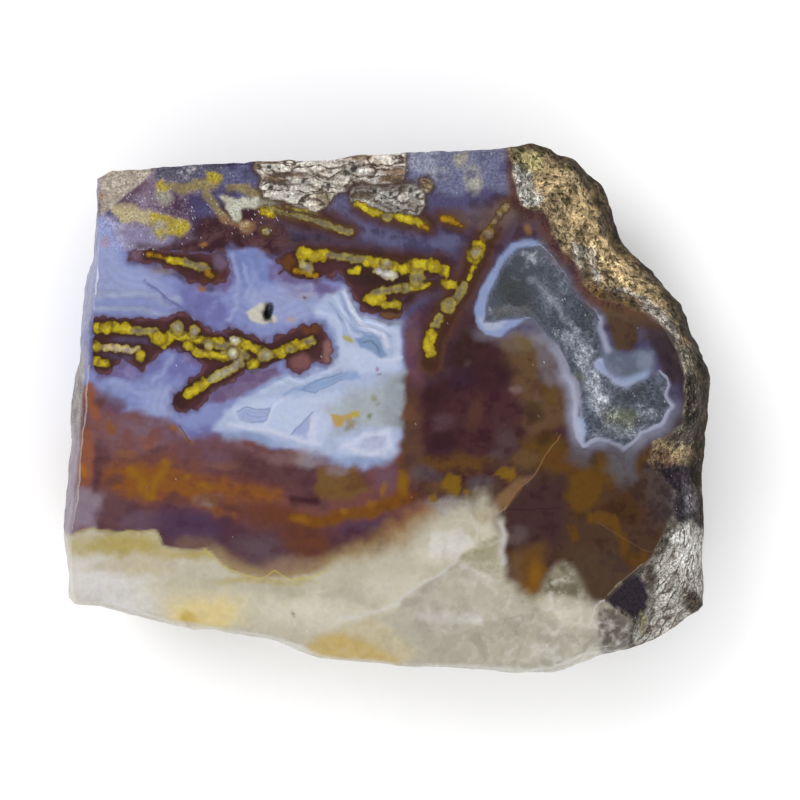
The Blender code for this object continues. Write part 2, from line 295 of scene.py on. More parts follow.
def face_height(xy):
    """Height of the face: level, falling along the top strip, and dished at the pocket by
    the distance from its middle line."""
    at = np.column_stack((xy, np.zeros(len(xy))))
    strip = strip_share(xy)
    height = THICKNESS - STRIP_FALL * strip
    height += STRIP_LUMPS * np.sqrt(strip) * lumps(at, 4.0, 1)
    away = path_distance(xy, POCKET_LINE)
    return height - POCKET_DEPTH * eased(away, POCKET_HALF_WIDTH, 0.5 * POCKET_HALF_WIDTH)


def face_patch(u, v):
    """The face inside its edge: top and bottom edges blended across, left and right edges
    blended along, less the blend of the four corners."""
    top = side_values(TOP_SIDE, RIND_SIDE, u)[:, 2:4]
    bottom = side_values(BROKEN_SIDE, LEFT_SIDE, 1.0 - u)[:, 2:4]
    left = side_values(LEFT_SIDE, TOP_SIDE, v)[:, 2:4]
    right = side_values(RIND_SIDE, BROKEN_SIDE, 1.0 - v)[:, 2:4]
    u = u[:, None]
    v = v[:, None]
    corners = (1 - u) * (1 - v) * np.array(LEFT_SIDE[0][2:4])
    corners += u * (1 - v) * np.array(BROKEN_SIDE[0][2:4])
    corners += (1 - u) * v * np.array(TOP_SIDE[0][2:4]) + u * v * np.array(RIND_SIDE[0][2:4])
    xy = (1 - v) * bottom + v * top + (1 - u) * left + u * right - corners
    return np.column_stack((xy, face_height(xy)))


def side_wall(stations, out, down):
    """The sides: each column runs from the edge of the face out and down to the outline as
    `out` goes from 0 to 1, then down and in to the back as `down` does, with swells, lumps
    and a broken ledge pushed along the way that the surface faces."""
    outline = stations[:, 0:2]
    edge = stations[:, 2:4]
    shoulder = stations[:, 4]
    lump = stations[:, 5]
    core = np.clip(outline, np.negative(CORE_HALF), CORE_HALF)
    outward = outline - core
    outward /= np.linalg.norm(outward, axis=1)[:, None]
    tuck = BACK_TUCK + BACK_TUCK_RIGHT * outward[:, 0]
    inward = tuck * (ROUND_TUCK * down ** 2 + SHARP_TUCK * down ** 8)
    xy = edge + (outline - edge) * out[:, None] - outward * inward[:, None]
    top = face_height(edge)
    z = top + (shoulder - top) * (EVEN_FALL * out + STEEP_FALL * out ** 3)
    z *= 1.0 - down

    points = np.column_stack((xy, z))
    held = 1.0 - LUMPS_HELD * eased(np.abs(z - shoulder), HELD_BAND, 0.0)
    spread = LUMP_GAIN * lump * eased(out, 0.0, 0.5) * eased(down, 1.0, 0.8) * held
    push = spread * (0.6 * lumps(points, BIG_LUMP, 2) + 0.5 * lumps(points, SMALL_LUMP, 3))
    push += SWELL * lumps(points, SWELL_SIZE, 6) * eased(down, 0.0, 0.3) * held
    step = LEDGE_HEIGHT + LEDGE_WANDER * lumps(points * (1.0, 1.0, 0.0), 14.0, 4)
    ledge = eased(z, step + 0.6, step - 1.2) * eased(lumps(points, 16.0, 5), -0.1, 0.5)
    push -= LEDGE_DEPTH * ledge * eased(down, 0.1, 0.3) * eased(down, 1.0, 0.8)

    rind = eased(lump, 0.5, 0.8)
    away = eased(out, 0.0, 0.12) * eased(down, 1.0, 0.9)
    grain = 0.6 * lumps(points, 1.5, 7) + 0.4 * lumps(points, 0.8, 8)
    push += (SIDE_GRAIN + (RIND_GRAIN - SIDE_GRAIN) * rind) * grain * away
    push += OUTLINE_WOBBLE * lumps(points, 2.6, 9) * away
    facing = np.column_stack((outward * out[:, None], 1.0 - out))
    facing /= np.linalg.norm(facing, axis=1)[:, None]
    return points + facing * push[:, None]


def fractured(points):
    """Moves whatever stands outside a flat fracture back onto it."""
    for place, facing in FRACTURES:
        normal = np.array(facing) / np.linalg.norm(facing)
        outside = np.maximum((points - np.array(place)) @ normal, 0.0)
        points = points - outside[:, None] * normal
    points[:, 2] = np.maximum(points[:, 2], 0.0)
    return points


def edge_stations():
    """Station values all round the face's edge, clockwise from its top left corner, at the
    same places as the columns and rows of the face."""
    u = np.arange(FACE_COLUMNS) / FACE_COLUMNS
    v = row_places()
    sides = (
        side_values(TOP_SIDE, RIND_SIDE, u),
        side_values(RIND_SIDE, BROKEN_SIDE, 1.0 - v[:0:-1]),
        side_values(BROKEN_SIDE, LEFT_SIDE, u),
        side_values(LEFT_SIDE, TOP_SIDE, v[:-1]),
    )
    return np.concatenate(sides)


def row_places():
    """How far up the face each row lies, from 0 to 1, with wider rows over the quartz."""
    even = np.arange(FACE_ROWS + 1) / FACE_ROWS
    return np.interp(even, (0.0, COARSE_ROWS, 1.0), (0.0, COARSE_HEIGHT, 1.0))


def edge_ring(columns, rows):
    """Numbers of the vertices round the edge of a grid, clockwise from its top left. The
    grid is numbered row by row, from the bottom left."""
    grid = np.arange((columns + 1) * (rows + 1)).reshape(rows + 1, columns + 1)
    sides = (grid[-1, :-1], grid[:0:-1, -1], grid[0, :0:-1], grid[:-1, 0])
    return np.concatenate(sides)


def grid_faces(columns, rows):
    """Quads of a grid of vertices numbered row by row, anticlockwise seen from above."""
    grid = np.arange((columns + 1) * (rows + 1)).reshape(rows + 1, columns + 1)
    corners = (grid[:-1, :-1], grid[:-1, 1:], grid[1:, 1:], grid[1:, :-1])
    return np.stack([corner.ravel() for corner in corners], axis=1)


def back_grid(ring, columns, rows):
    """Flat points inside a ring: the four sides of the ring blended as on the face."""
    top = ring[:columns + 1]
    right = ring[columns:columns + rows + 1][::-1]
    bottom = ring[columns + rows:2 * columns + rows + 1][::-1]
    left = np.concatenate((ring[2 * columns + rows:], ring[:1]))
    u = np.linspace(0.0, 1.0, columns + 1)[None, :, None]
    v = np.linspace(0.0, 1.0, rows + 1)[:, None, None]
    corners = (1 - u) * (1 - v) * bottom[0] + u * (1 - v) * bottom[-1]
    corners = corners + (1 - u) * v * top[0] + u * v * top[-1]
    inner = (1 - v) * bottom[None] + v * top[None] + (1 - u) * left[:, None]
    inner = inner + u * right[:, None] - corners
    return inner.reshape(-1, 3)


def stone_surface():
    """All points of the stone and its faces: the face, then the rings of the sides down to
    the back, then the back, whose ring takes every fourth column."""
    u, v = np.meshgrid(np.arange(FACE_COLUMNS + 1) / FACE_COLUMNS, row_places())
    face = face_patch(u.ravel(), v.ravel())
    xy = face[:, 0:2]
    strip = np.sqrt(strip_share(xy))
    face[:, 2] += STRIP_GRAIN * strip * (lumps(face, 0.9, 10) + 0.6 * lumps(face, 1.9, 11))
    face[:, 2] -= PIT_DEPTH * eased(pit_reach(xy), PIT_LIP, PIT_FLOOR)

    stations = edge_stations()
    round_count = len(stations)
    ring_numbers = [edge_ring(FACE_COLUMNS, FACE_ROWS)]
    rings = []
    first = len(face)
    for row in range(1, RIM_ROWS + WALL_ROWS + 1):
        out = np.full(round_count, min(row / RIM_ROWS, 1.0))
        down = np.full(round_count, max((row - RIM_ROWS) / WALL_ROWS, 0.0))
        rings.append(side_wall(stations, out, down))
        ring_numbers.append(first + np.arange(round_count))
        first += round_count
    points = fractured(np.concatenate([face] + rings))
    points[-round_count:, 2] = 0.0

    sides = []
    for upper, lower in zip(ring_numbers[:-1], ring_numbers[1:]):
        sides.append(np.stack((upper, np.roll(upper, -1), np.roll(lower, -1), lower), axis=1))

    columns = FACE_COLUMNS // BACK_STEP
    rows = FACE_ROWS // BACK_STEP
    last = ring_numbers[-1]
    ring = points[last[::BACK_STEP]]
    inward = np.linalg.norm(ring[:, 0:2], axis=1)[:, None]
    ring[:, 0:2] -= BACK_INSET * ring[:, 0:2] / inward
    back = back_grid(ring, columns, rows)
    inner = first + edge_ring(columns, rows)
    steps = [last[step::BACK_STEP] for step in range(BACK_STEP)]
    seam = steps + [np.roll(steps[0], -1), np.roll(inner, -1), inner]
    faces = (
        np.concatenate([grid_faces(FACE_COLUMNS, FACE_ROWS)] + sides),
        np.stack(seam, axis=1),
        first + grid_faces(columns, rows)[:, ::-1],
    )
    return np.concatenate((points, back)), faces


points, stone_faces = stone_surface()

# The pattern that grew through the stone. It is drawn in steps of 0.14 mm, counted to the right
# and down the face from a corner beyond its top left. Below the face it drifts sideways with
# depth, so that the sides and the back show the same stone further in. Colours are given as the
# studio light shows them, in hundredths, and outlines and paths as rows of numbers, across and
# down by turns.
STEP = 0.14
PATTERN_CORNER = (-53.76, 57.26)
DRIFT_START = 5.0
DRIFT_FULL = 20.0
DRIFT = 5.5


def clouds(points, size, seed, layers=3):
    """Soft random clouds, about -1 to 1: layers of lumps, each turned another way and half
    the size and the height of the one before."""
    total = np.zeros(len(points))
    for layer in range(layers):
        turn = 0.7 + 1.3 * layer + seed
        across = math.cos(turn) * points[:, 0] - math.sin(turn) * points[:, 1]
        along = math.sin(turn) * points[:, 0] + math.cos(turn) * points[:, 1]
        tilted = (across, 0.8 * along - 0.6 * points[:, 2], 0.6 * along + 0.8 * points[:, 2])
        total += 0.5 ** layer * lumps(np.column_stack(tilted), size * 0.5 ** layer, seed + 50 * layer)
    return 1.25 * total / (2.0 - 0.5 ** (layers - 1))


depth = np.maximum(THICKNESS - points[:, 2], 0.0)
drift = DRIFT * eased(depth, DRIFT_START, DRIFT_FULL)
slow = np.column_stack((lumps(points, 14.0, 20), lumps(points, 14.0, 21)))
within = points[:, 0:2] + drift[:, None] * (0.8 * slow - 0.03 * points[:, 0:2])
exact = (within - PATTERN_CORNER) * (1.0 / STEP, -1.0 / STEP)
wander = np.column_stack((clouds(points, 3.4, 22), clouds(points, 3.4, 23)))
ripple = np.column_stack((clouds(points, 1.2, 24), clouds(points, 1.2, 25)))
depth_steps = depth / STEP
fray = clouds(points, 1.6, 27, 4)


def bent(far, near):
    """Places for outlines that the stone has bent: pushed `far` steps by slow wandering and
    `near` steps by fine ripple."""
    return exact + far * wander + near * ripple


def rightward(start, end):
    """A smooth step from 0 to 1 as a place goes across the pattern from start to end."""
    return eased(exact[:, 0], start, end)


def downward(start, end):
    """A smooth step from 0 to 1 as a place goes down the pattern from start to end."""
    return eased(exact[:, 1], start, end)


def nowhere(steps):
    """The depth inside something that isn't there yet: that many steps outside, everywhere."""
    return np.full(len(points), -steps)


place = bent(5.0, 2.6)
near_exact = bent(1.0, 1.2)
lumpy = bent(1.2, 3.4)
halfway = 0.5 * (place + near_exact)


def mixed(colour, second=None, share=40):
    """Seven values of paint: a colour, a second colour that is clouded into it, and how many
    hundredths of the place the second takes. Without a second it is a darker tone of the
    first."""
    if second is None:
        second = [0.8 * value for value in colour]
    return np.array([*colour, *second, share])


def outline_depth(place, outline):
    """How far each place lies inside a closed outline, less than 0 outside it: distance to
    the nearest side, with its sign from how many sides lie straight to the right."""
    corners = np.reshape(outline, (-1, 2)).astype(float)
    nearest = path_distance(place, np.concatenate((corners, corners[:1])))
    inside = np.zeros(len(place), bool)
    for start, end in zip(corners, np.roll(corners, -1, axis=0)):
        if start[1] == end[1]:
            continue
        crosses = (start[1] > place[:, 1]) != (end[1] > place[:, 1])
        at = start[0] + (place[:, 1] - start[1]) * (end[0] - start[0]) / (end[1] - start[1])
        inside ^= crosses & (place[:, 0] < at)
    return np.where(inside, nearest, -nearest)


def cover(inside, soft):
    """How fully a zone covers each place: from 0 to 1 over `soft` steps about its edge."""
    return eased(inside, -0.5 * soft, 0.5 * soft)


def lay(colours, colour, amount):
    """Lays one colour over others, by the given amount at each point. Laid on paint, a plain
    colour brings its own darker second."""
    if colours.shape[1] == 7 and len(colour) == 3:
        colour = mixed(colour)
    colours += amount[:, None] * (np.asarray(colour) - colours)


def lay_zones(zones, at=None, blur=1.0, within=1.0, fraying=0.35):
    """Lays zones of the face: each has a colour, the softness of its edge and an outline.
    The softer the edge, the more it is frayed by fine clouds. `blur` softens all of them."""
    at = place if at is None else at
    for colour, soft, outline in zones:
        frayed = outline_depth(at, outline) + fraying * blur * soft * fray
        lay(paint, colour, within * cover(frayed, soft * blur))


def lay_spots(spots, within=1.0):
    """Lays cloudy spots: each has a colour, a strength, a middle and half sizes across and
    down. A spot fades from half its size to 1.4 times its size."""
    for colour, strength, middle, half in spots:
        away = np.linalg.norm((place - middle) / half, axis=1) + 0.3 * fray
        lay(paint, colour, strength * within * eased(away, 1.5, 0.4))


def lay_streaks(streaks, at=None):
    """Lays streaks: each has a colour, a softness, a half width and a path."""
    at = place if at is None else at
    for colour, soft, half_width, path in streaks:
        lay(paint, colour, cover(half_width - path_distance(at, path), soft))


def spots_mask(spots):
    """The greatest of several oval spots at each place: strength, middle and half sizes."""
    mask = np.zeros(len(points))
    for strength, middle, half in spots:
        away = np.linalg.norm((place - middle) / half, axis=1)
        mask = np.maximum(mask, strength * eased(away, 1.4, 0.5))
    return mask


# The slate-violet stone at the top of the face, mostly inside the unpolished strip. It is
# chalcedony with fine dark iron in it, paler where the saw left it rough.
SLATE = mixed((8.5, 7.5, 15.5), (5, 4, 8))
SLATE_PALE = mixed((15, 15.5, 25), (8.5, 8.2, 15), 35)
SLATE_MID = mixed((11.5, 11.2, 20.5), (6, 5.2, 10.5))
SLATE_DARK = mixed((5.8, 5, 8.8), (3.4, 2.6, 4.2), 45)
ROUGH_PURPLE = mixed((26, 20, 26.5), (9, 5, 8.5), 46)
ROUGH_DARK = mixed((21, 15.5, 23), (6.5, 3.2, 6), 55)
MAROON_DARK = mixed((11, 5.2, 5.6), (4.4, 1.8, 2.4), 55)
paint = np.tile(SLATE, (len(points), 1))
lay_zones((
    (SLATE_PALE, 10, (404, 120, 530, 120, 522, 195, 478, 186, 452, 196, 408, 180)),
    (mixed((27, 28, 37), (13, 13, 20)), 8, (404, 120, 440, 120, 438, 172, 418, 174, 404, 166)),
    (SLATE_MID, 8, (215, 140, 262, 140, 258, 186, 240, 196, 222, 184)),
    (SLATE_MID, 9, (326, 206, 346, 198, 362, 216, 368, 240, 330, 228)),
    (SLATE_DARK, 8, (282, 226, 350, 238, 366, 244, 300, 246, 278, 240)),
    (SLATE_MID, 10, (362, 222, 452, 238, 466, 236, 462, 252, 364, 242)),
    (ROUGH_PURPLE, 10, (60, 165, 150, 160, 178, 182, 196, 246, 140, 252, 120, 216)),
    (ROUGH_DARK, 12, (150, 186, 196, 190, 212, 206, 208, 246, 180, 248, 190, 226, 164, 206)),
    (mixed((10, 9.5, 14), (42, 41, 44), 35), 8, (150, 150, 215, 140, 222, 166, 200, 176, 152, 184)),
    (mixed((13, 11.5, 24), (5.5, 4.5, 10.5), 55), 9, (188, 198, 204, 194, 218, 210, 210, 230, 190, 222)),
    (MAROON_DARK, 10, (196, 222, 226, 206, 262, 206, 292, 232, 300, 246, 262, 254, 196, 256)),
    (MAROON_DARK, 8, (146, 238, 196, 238, 214, 256, 212, 270, 146, 250)),
    (mixed((32, 20, 12), (16, 8, 5), 50), 6, (228, 222, 240, 218, 256, 230, 246, 236)),
))
lay_spots((
    (mixed((17, 10.5, 16), (10, 5.5, 8.5), 50), 0.9, (126, 186), (22, 8)),
    (mixed((50, 48, 36), (16, 15, 20), 60), 0.7, (472, 178), (9, 14)),
    (mixed((42, 40, 28), (16, 15, 20), 60), 0.7, (462, 158), (8, 6)),
    (mixed((40, 40, 42), (12, 12, 19), 60), 0.6, (440, 172), (12, 6)),
))

# The lavender chalcedony, the clear blue-violet stone of the left half. It is polished, and
# it is banded level at the left and in soft clouds elsewhere.
LAVENDER = mixed((22.8, 26.2, 50), (19.6, 22.2, 44))
LAVENDER_PALE = mixed((30, 33.8, 56), (26.2, 29.8, 52))
LAVENDER_DEEP = mixed((15.8, 16.2, 37.5), (19, 20, 43))
LAVENDER_BLUE = mixed((18, 22.2, 46), (22, 25.6, 48))
LAVENDER_GREY = mixed((28.5, 31.8, 48), (31, 34.5, 50))
VIOLET = mixed((15.5, 12, 27), (19, 17, 34))
VIOLET_DUSK = mixed((18.5, 13, 24), (13.5, 8.5, 17), 45)
VIOLET_PALE = mixed((32, 30.5, 45), (23, 22.5, 40), 45)
lay_zones((
    (LAVENDER, 6, (40, 205, 100, 214, 116, 222, 128, 244, 132, 262, 160, 270, 182, 284, 214, 290,
        232, 276, 226, 252, 262, 250, 280, 262, 300, 280, 330, 276, 352, 290, 362, 310, 384, 318,
        404, 316, 420, 330, 410, 470, 300, 470, 240, 446, 180, 436, 120, 416, 40, 400)),
    (mixed((40, 38, 55), (22, 17, 26), 45), 10, (100, 212, 176, 240, 150, 252, 130, 250, 112, 236)),
    (LAVENDER_PALE, 12, (40, 215, 112, 222, 124, 262, 160, 276, 172, 292, 96, 300, 40, 300)),
    (LAVENDER_DEEP, 12, (176, 286, 222, 292, 236, 330, 204, 326, 184, 310)),
    (LAVENDER_BLUE, 12, (228, 250, 268, 254, 274, 284, 256, 300, 236, 292)),
    (LAVENDER_PALE, 12, (246, 290, 282, 284, 330, 284, 332, 312, 290, 326, 252, 322)),
    (VIOLET_PALE, 9, (284, 284, 312, 284, 316, 298, 304, 304, 286, 298)),
    (VIOLET, 8, (268, 262, 286, 268, 310, 282, 284, 284, 270, 276)),
    (VIOLET, 7, (314, 280, 328, 280, 346, 292, 336, 304, 322, 302, 314, 292)),
    (VIOLET, 8, (92, 364, 124, 352, 150, 360, 140, 378, 96, 384)),
    (LAVENDER_DEEP, 9, (176, 350, 214, 356, 236, 366, 206, 378, 190, 390, 178, 372)),
    (LAVENDER_DEEP, 14, (140, 356, 206, 352, 200, 380, 160, 380, 140, 372)),
    (VIOLET, 8, (182, 350, 206, 356, 204, 368, 186, 366)),
    (VIOLET_DUSK, 7, (206, 394, 222, 380, 246, 371, 276, 365, 282, 372, 264, 384, 222, 404, 206, 402)),
    (LAVENDER_PALE, 10, (140, 392, 170, 386, 172, 412, 148, 414)),
    (LAVENDER_DEEP, 8, (176, 420, 232, 434, 236, 442, 200, 440)),
    (VIOLET, 6, (216, 266, 232, 258, 238, 276, 232, 290, 218, 288)),
))
lay_streaks((
    (LAVENDER_GREY, 6, 4.0, (60, 294, 130, 293, 176, 300)),
    (LAVENDER_GREY, 4, 3.0, (60, 309, 120, 308, 176, 314)),
    (LAVENDER_DEEP, 4, 1.0, (148, 281, 196, 319, 220, 330)),
    (LAVENDER_PALE, 7, 2.0, (112, 386, 128, 384, 140, 394, 146, 412)),
    (LAVENDER_PALE, 8, 2.0, (150, 382, 166, 370, 176, 358)),
    (LAVENDER_PALE, 5, 2.0, (232, 256, 242, 280, 240, 304, 228, 322)),
    (LAVENDER_PALE, 4, 1.2, (244, 262, 252, 284, 250, 300)),
))
PIT_CREAM = mixed((56, 53, 45), (42, 40, 38), 30)
lay_zones((
    (PIT_CREAM, 3, (245, 312, 254, 306, 262, 303, 270, 304, 268, 314, 276, 316, 277, 322, 262, 323,
        252, 320)),
), near_exact)
lay_spots((
    ((44, 30, 30), 0.8, (292, 322), (3.4, 3)),
    ((12, 7, 9), 0.9, (303, 300), (2.5, 2)),
    # Painted shade: the inside of the open pit, nearly black.
    ((2, 2, 2.6), 1.0, (267, 311), (5, 9)),
    (mixed((24, 20, 19), (17, 13, 14), 50), 0.9, (166, 270), (16, 5)),
    ((42, 27, 33), 0.5, (103, 240), (6, 5)),
))

# The white-blue field in the middle, where the chalcedony turns milky. Fortification bands
# run round it, with small cells of a deeper blue.
FIELD = mixed((40, 46.2, 63.5), (35, 40.5, 59))
FIELD_PALE = mixed((48, 54, 71.5), (43, 49.5, 68))
FIELD_GREY = mixed((38.5, 42, 45.5), (31.5, 34.5, 38))
FIELD_DIM = mixed((25.5, 28.5, 37), (20, 19, 29))
FIELD_BLUE = mixed((25.5, 32, 51), (30, 35.5, 54))
FIELD_WHITE = mixed((56, 59, 73), (50, 54, 70))
CELL_BLUE = mixed((21.5, 30, 47), (17, 25, 41))
LENS_BLUE = mixed((26.5, 35.5, 55.5), (22.5, 31, 51), 30)
CELL_PALE = mixed((34, 39, 60.5), (30, 35, 57), 30)
lay_zones((
    (FIELD, 8, (402, 322, 402, 452, 392, 464, 366, 468, 302, 454, 262, 440, 232, 438, 214, 430, 224, 412,
        272, 380, 286, 374, 302, 377, 318, 367, 331, 366, 336, 350, 334, 332, 312, 310, 328, 292,
        346, 288, 362, 314, 384, 322)),
    (FIELD_PALE, 9, (226, 412, 250, 402, 336, 392, 346, 404, 322, 440, 240, 428)),
    (FIELD_PALE, 7, (340, 344, 358, 346, 380, 358, 400, 360, 400, 372, 362, 374, 340, 366)),
    (FIELD_GREY, 24, (352, 394, 412, 368, 412, 428, 366, 426, 330, 430, 328, 410)),
    ((31, 34, 38), 14, (384, 384, 416, 366, 416, 430, 388, 424)),
    (FIELD_PALE, 7, (336, 440, 394, 428, 394, 456, 340, 454)),
    (FIELD_BLUE, 7, (306, 456, 394, 460, 392, 472, 330, 472)),
    (FIELD_BLUE, 6, (222, 432, 262, 434, 288, 444, 262, 448, 220, 442)),
), halfway)
lay_streaks((
    (FIELD_BLUE, 5, 1.5, (322, 322, 334, 334, 336, 354, 326, 368, 302, 378, 284, 376, 250, 394)),
    (FIELD_DIM, 5, 2.5, (352, 300, 364, 318, 384, 322, 400, 322)),
    (FIELD_PALE, 5, 2.4, (318, 312, 329, 315, 338, 325, 342, 338, 342, 358)),
    (FIELD_PALE, 5, 1.6, (262, 392, 276, 384, 290, 380, 306, 384, 338, 366)),
    (FIELD_BLUE, 3, 1.2, (330, 303, 337, 312, 342, 324, 345, 338)),
    (FIELD_PALE, 3, 1.8, (334, 296, 346, 320, 349, 332)),
    (FIELD_BLUE, 3, 1.5, (340, 294, 352, 322, 358, 331, 366, 335)),
    (FIELD_WHITE, 3, 2.0, (344, 292, 356, 317, 362, 326, 382, 333, 388, 346)),
    (FIELD_BLUE, 3, 1.0, (354, 302, 360, 314, 366, 322, 380, 326, 390, 336)),
    (FIELD_PALE, 5, 3.2, (366, 320, 396, 332, 398, 356)),
    (FIELD_WHITE, 3, 1.6, (378, 360, 390, 360, 402, 358)),
    (LENS_BLUE, 2.5, 1.4, (283, 397, 292, 390, 332, 377, 344, 375, 359, 377)),
    (FIELD_WHITE, 5, 2.0, (230, 425, 272, 431, 302, 441, 320, 444)),
    (FIELD_WHITE, 4, 1.2, (264, 428, 276, 404, 284, 398)),
    (FIELD_WHITE, 6, 4.0, (313, 420, 311, 432, 313, 442)),
    (FIELD_WHITE, 4, 2.4, (344, 446, 356, 442, 364, 434, 388, 433, 390, 446, 384, 452, 368, 454,
        352, 449)),
), near_exact)
lay_zones((
    (CELL_BLUE, 3, (354, 339, 364, 335, 373, 334, 379, 338, 388, 356, 381, 359, 372, 351, 360, 347)),
    (LENS_BLUE, 2.5, (284, 397, 292, 390, 302, 388, 312, 382, 342, 373, 356, 373, 360, 377, 350, 380,
        340, 381, 315, 393, 294, 391)),
    (CELL_PALE, 2.5, (236, 413, 246, 407, 256, 410, 271, 409, 264, 423, 240, 421)),
    (CELL_PALE, 2.5, (312, 413, 291, 434, 306, 437)),
    ((43.5, 47.5, 62.5), 2.5, (366, 438, 372, 436, 386, 436, 386, 447, 370, 450, 360, 445)),
), near_exact)
OCHRE_PATCH = mixed((47, 31, 10), (38, 27, 17))
lay_zones((
    (OCHRE_PATCH, 3, (329, 413, 343, 416, 352, 413, 352, 420, 344, 421, 342, 426, 335, 427, 331, 421)),
    ((31, 27, 22), 5, (344, 420, 354, 419, 355, 428, 345, 430)),
    ((46, 37, 7), 3, (350, 412, 358, 411, 359, 417, 352, 418)),
    ((40, 36, 13), 3, (342, 336, 348, 336, 356, 342, 352, 344, 344, 341)),
), near_exact)
lay_spots((
    ((29, 30, 18), 0.8, (373, 398), (3.5, 4.5)),
    ((24, 25, 18), 0.8, (377, 405), (2, 2)),
    ((17, 22, 10), 0.9, (368, 415), (3, 2.4)),
    ((30, 12, 15), 0.9, (376, 371), (2.4, 2)),
    ((20, 19, 19), 0.7, (378, 378), (3.5, 2)),
    ((30, 33, 36), 0.7, (388, 414), (10, 6)),
    ((17, 13, 25), 0.9, (406, 342), (4, 24)),
))

# The iron-stained bands under the lavender: red, orange and ochre chalcedony that sweeps
# down to the right, over a deep purple band that meets the quartz.
RED_BROWN = mixed((17, 6.4, 5.4), (11.2, 4.6, 5), 45)
DUSTY_MAUVE = mixed((18.5, 10, 12.2), (17, 7, 6.4), 50)
RED_RUST = mixed((26.5, 9.2, 5), (18, 6.5, 5))
ORANGE_RUST = mixed((23.5, 8.4, 2), (15, 5, 2.6), 42)
OCHRE_BRIGHT = mixed((27.5, 12.5, 1.4), (21.5, 8.5, 1.8))
BROWN_RED_DARK = mixed((11.2, 4.8, 5), (7.8, 3.2, 3.8), 45)
MAUVE_BROWN = mixed((15, 7.5, 10), (11.2, 5.2, 6.2), 45)
BROWN_WARM = mixed((13.8, 4.8, 2.6), (10, 3.6, 2.8), 45)
OLIVE_BROWN = mixed((16.5, 8.8, 3), (12, 5.6, 2.4))
SWEEP_ORANGE = mixed((18, 6.8, 1.2), (12.5, 4.3, 1.2))
PURPLE_DEEP = mixed((8.2, 3.4, 4.6), (11, 4.8, 4.6), 35)
PURPLE_VIOLET = mixed((9, 4.6, 7.8), (6.6, 2.6, 4.4), 45)
PURPLE_BLUE = mixed((11.5, 7, 8.6), (7.8, 3.6, 5), 45)
PLUM_LEFT = mixed((12.5, 6, 6.6), (8.5, 4, 5.2), 45)
LILAC = mixed((25, 19, 23.5), (19, 13, 18))
IRON_BANDS = (
    30, 386, 88, 388, 122, 412, 143, 414, 156, 418, 170, 422, 182, 430, 198, 438, 224, 438, 241, 439,
    258, 444, 284, 451, 301, 456, 330, 463, 366, 470, 392, 464, 402, 440, 420, 440, 440, 560, 300, 600,
    30, 580,
)
lay_zones((
    (RED_BROWN, 8, IRON_BANDS),
    (DUSTY_MAUVE, 10, (84, 414, 150, 416, 176, 424, 168, 446, 120, 446, 98, 462, 84, 430)),
    (MAUVE_BROWN, 10, (176, 438, 244, 444, 262, 456, 214, 468, 182, 456)),
    (mixed((21.5, 12.5, 14.5), (16.5, 7.5, 8), 45), 7, (236, 442, 262, 446, 296, 458, 292, 466,
        238, 454)),
    (BROWN_RED_DARK, 12, (228, 450, 312, 462, 318, 500, 282, 488, 232, 480)),
    (ORANGE_RUST, 9, (100, 472, 134, 462, 170, 466, 190, 478, 284, 486, 282, 500, 234, 502, 146, 500,
        112, 490)),
    (BROWN_WARM, 10, (226, 504, 292, 504, 300, 530, 262, 530)),
    (PURPLE_DEEP, 10, (96, 506, 200, 514, 258, 530, 320, 530, 340, 524, 384, 520, 404, 522, 404, 545,
        320, 590, 200, 580, 90, 545)),
    (PURPLE_VIOLET, 10, (154, 508, 200, 514, 222, 522, 216, 542, 166, 538)),
    (PURPLE_BLUE, 14, (230, 542, 262, 538, 286, 542, 290, 566, 252, 566)),
    (BROWN_WARM, 12, (290, 516, 316, 520, 334, 546, 324, 562, 296, 560, 284, 538)),
    (PURPLE_VIOLET, 9, (338, 526, 384, 516, 380, 534, 346, 542)),
    (mixed((18.5, 10, 5.2), (13, 7, 5.5)), 9, (340, 548, 396, 520, 404, 534, 350, 562)),
    (PLUM_LEFT, 9, (96, 494, 146, 506, 150, 530, 98, 530)),
    (LILAC, 8, (40, 486, 90, 488, 102, 498, 96, 524, 76, 532, 40, 532)),
    (OLIVE_BROWN, 4, (316, 470, 330, 465, 356, 468, 366, 480, 372, 494, 336, 498, 315, 494)),
    (MAUVE_BROWN, 8, (372, 470, 398, 468, 398, 494, 376, 492)),
    (mixed((23.5, 11.5, 5.5), (16.5, 7.5, 5)), 9, (386, 522, 404, 510, 440, 502, 440, 530, 400, 545,
        386, 542)),
), blur=1.7)
lay_streaks((
    (SWEEP_ORANGE, 6, 6.0, (292, 516, 318, 520, 370, 510, 414, 498)),
    (SWEEP_ORANGE, 6, 5.0, (405, 462, 405, 476, 404, 500)),
    (mixed((13, 7, 3), (9.5, 4.5, 2.8), 45), 8, 5.0, (410, 380, 409, 420, 408, 468)),
    (OCHRE_BRIGHT, 9, 4.0, (130, 470, 142, 480, 146, 492)),
    (OCHRE_BRIGHT, 9, 3.5, (168, 464, 165, 474, 154, 484, 150, 494)),
    (ORANGE_RUST, 6, 4.0, (198, 502, 216, 510, 236, 514)),
    (RED_RUST, 6, 6.0, (90, 392, 94, 410, 100, 420)),
    (RED_RUST, 7, 7.0, (86, 436, 88, 462, 84, 478)),
    ((35, 13.5, 2), 5, 2.5, (82, 464, 84, 477)),
    (BROWN_RED_DARK, 6, 5.0, (97, 462, 98, 476, 96, 488)),
    ((5.5, 2, 2.6), 6, 3.0, (292, 498, 308, 499, 318, 498)),
    ((25, 11, 3.5), 4, 1.8, (174, 424, 184, 431, 192, 441)),
    (RED_BROWN, 7, 3.0, (246, 444, 270, 450, 292, 456)),
))
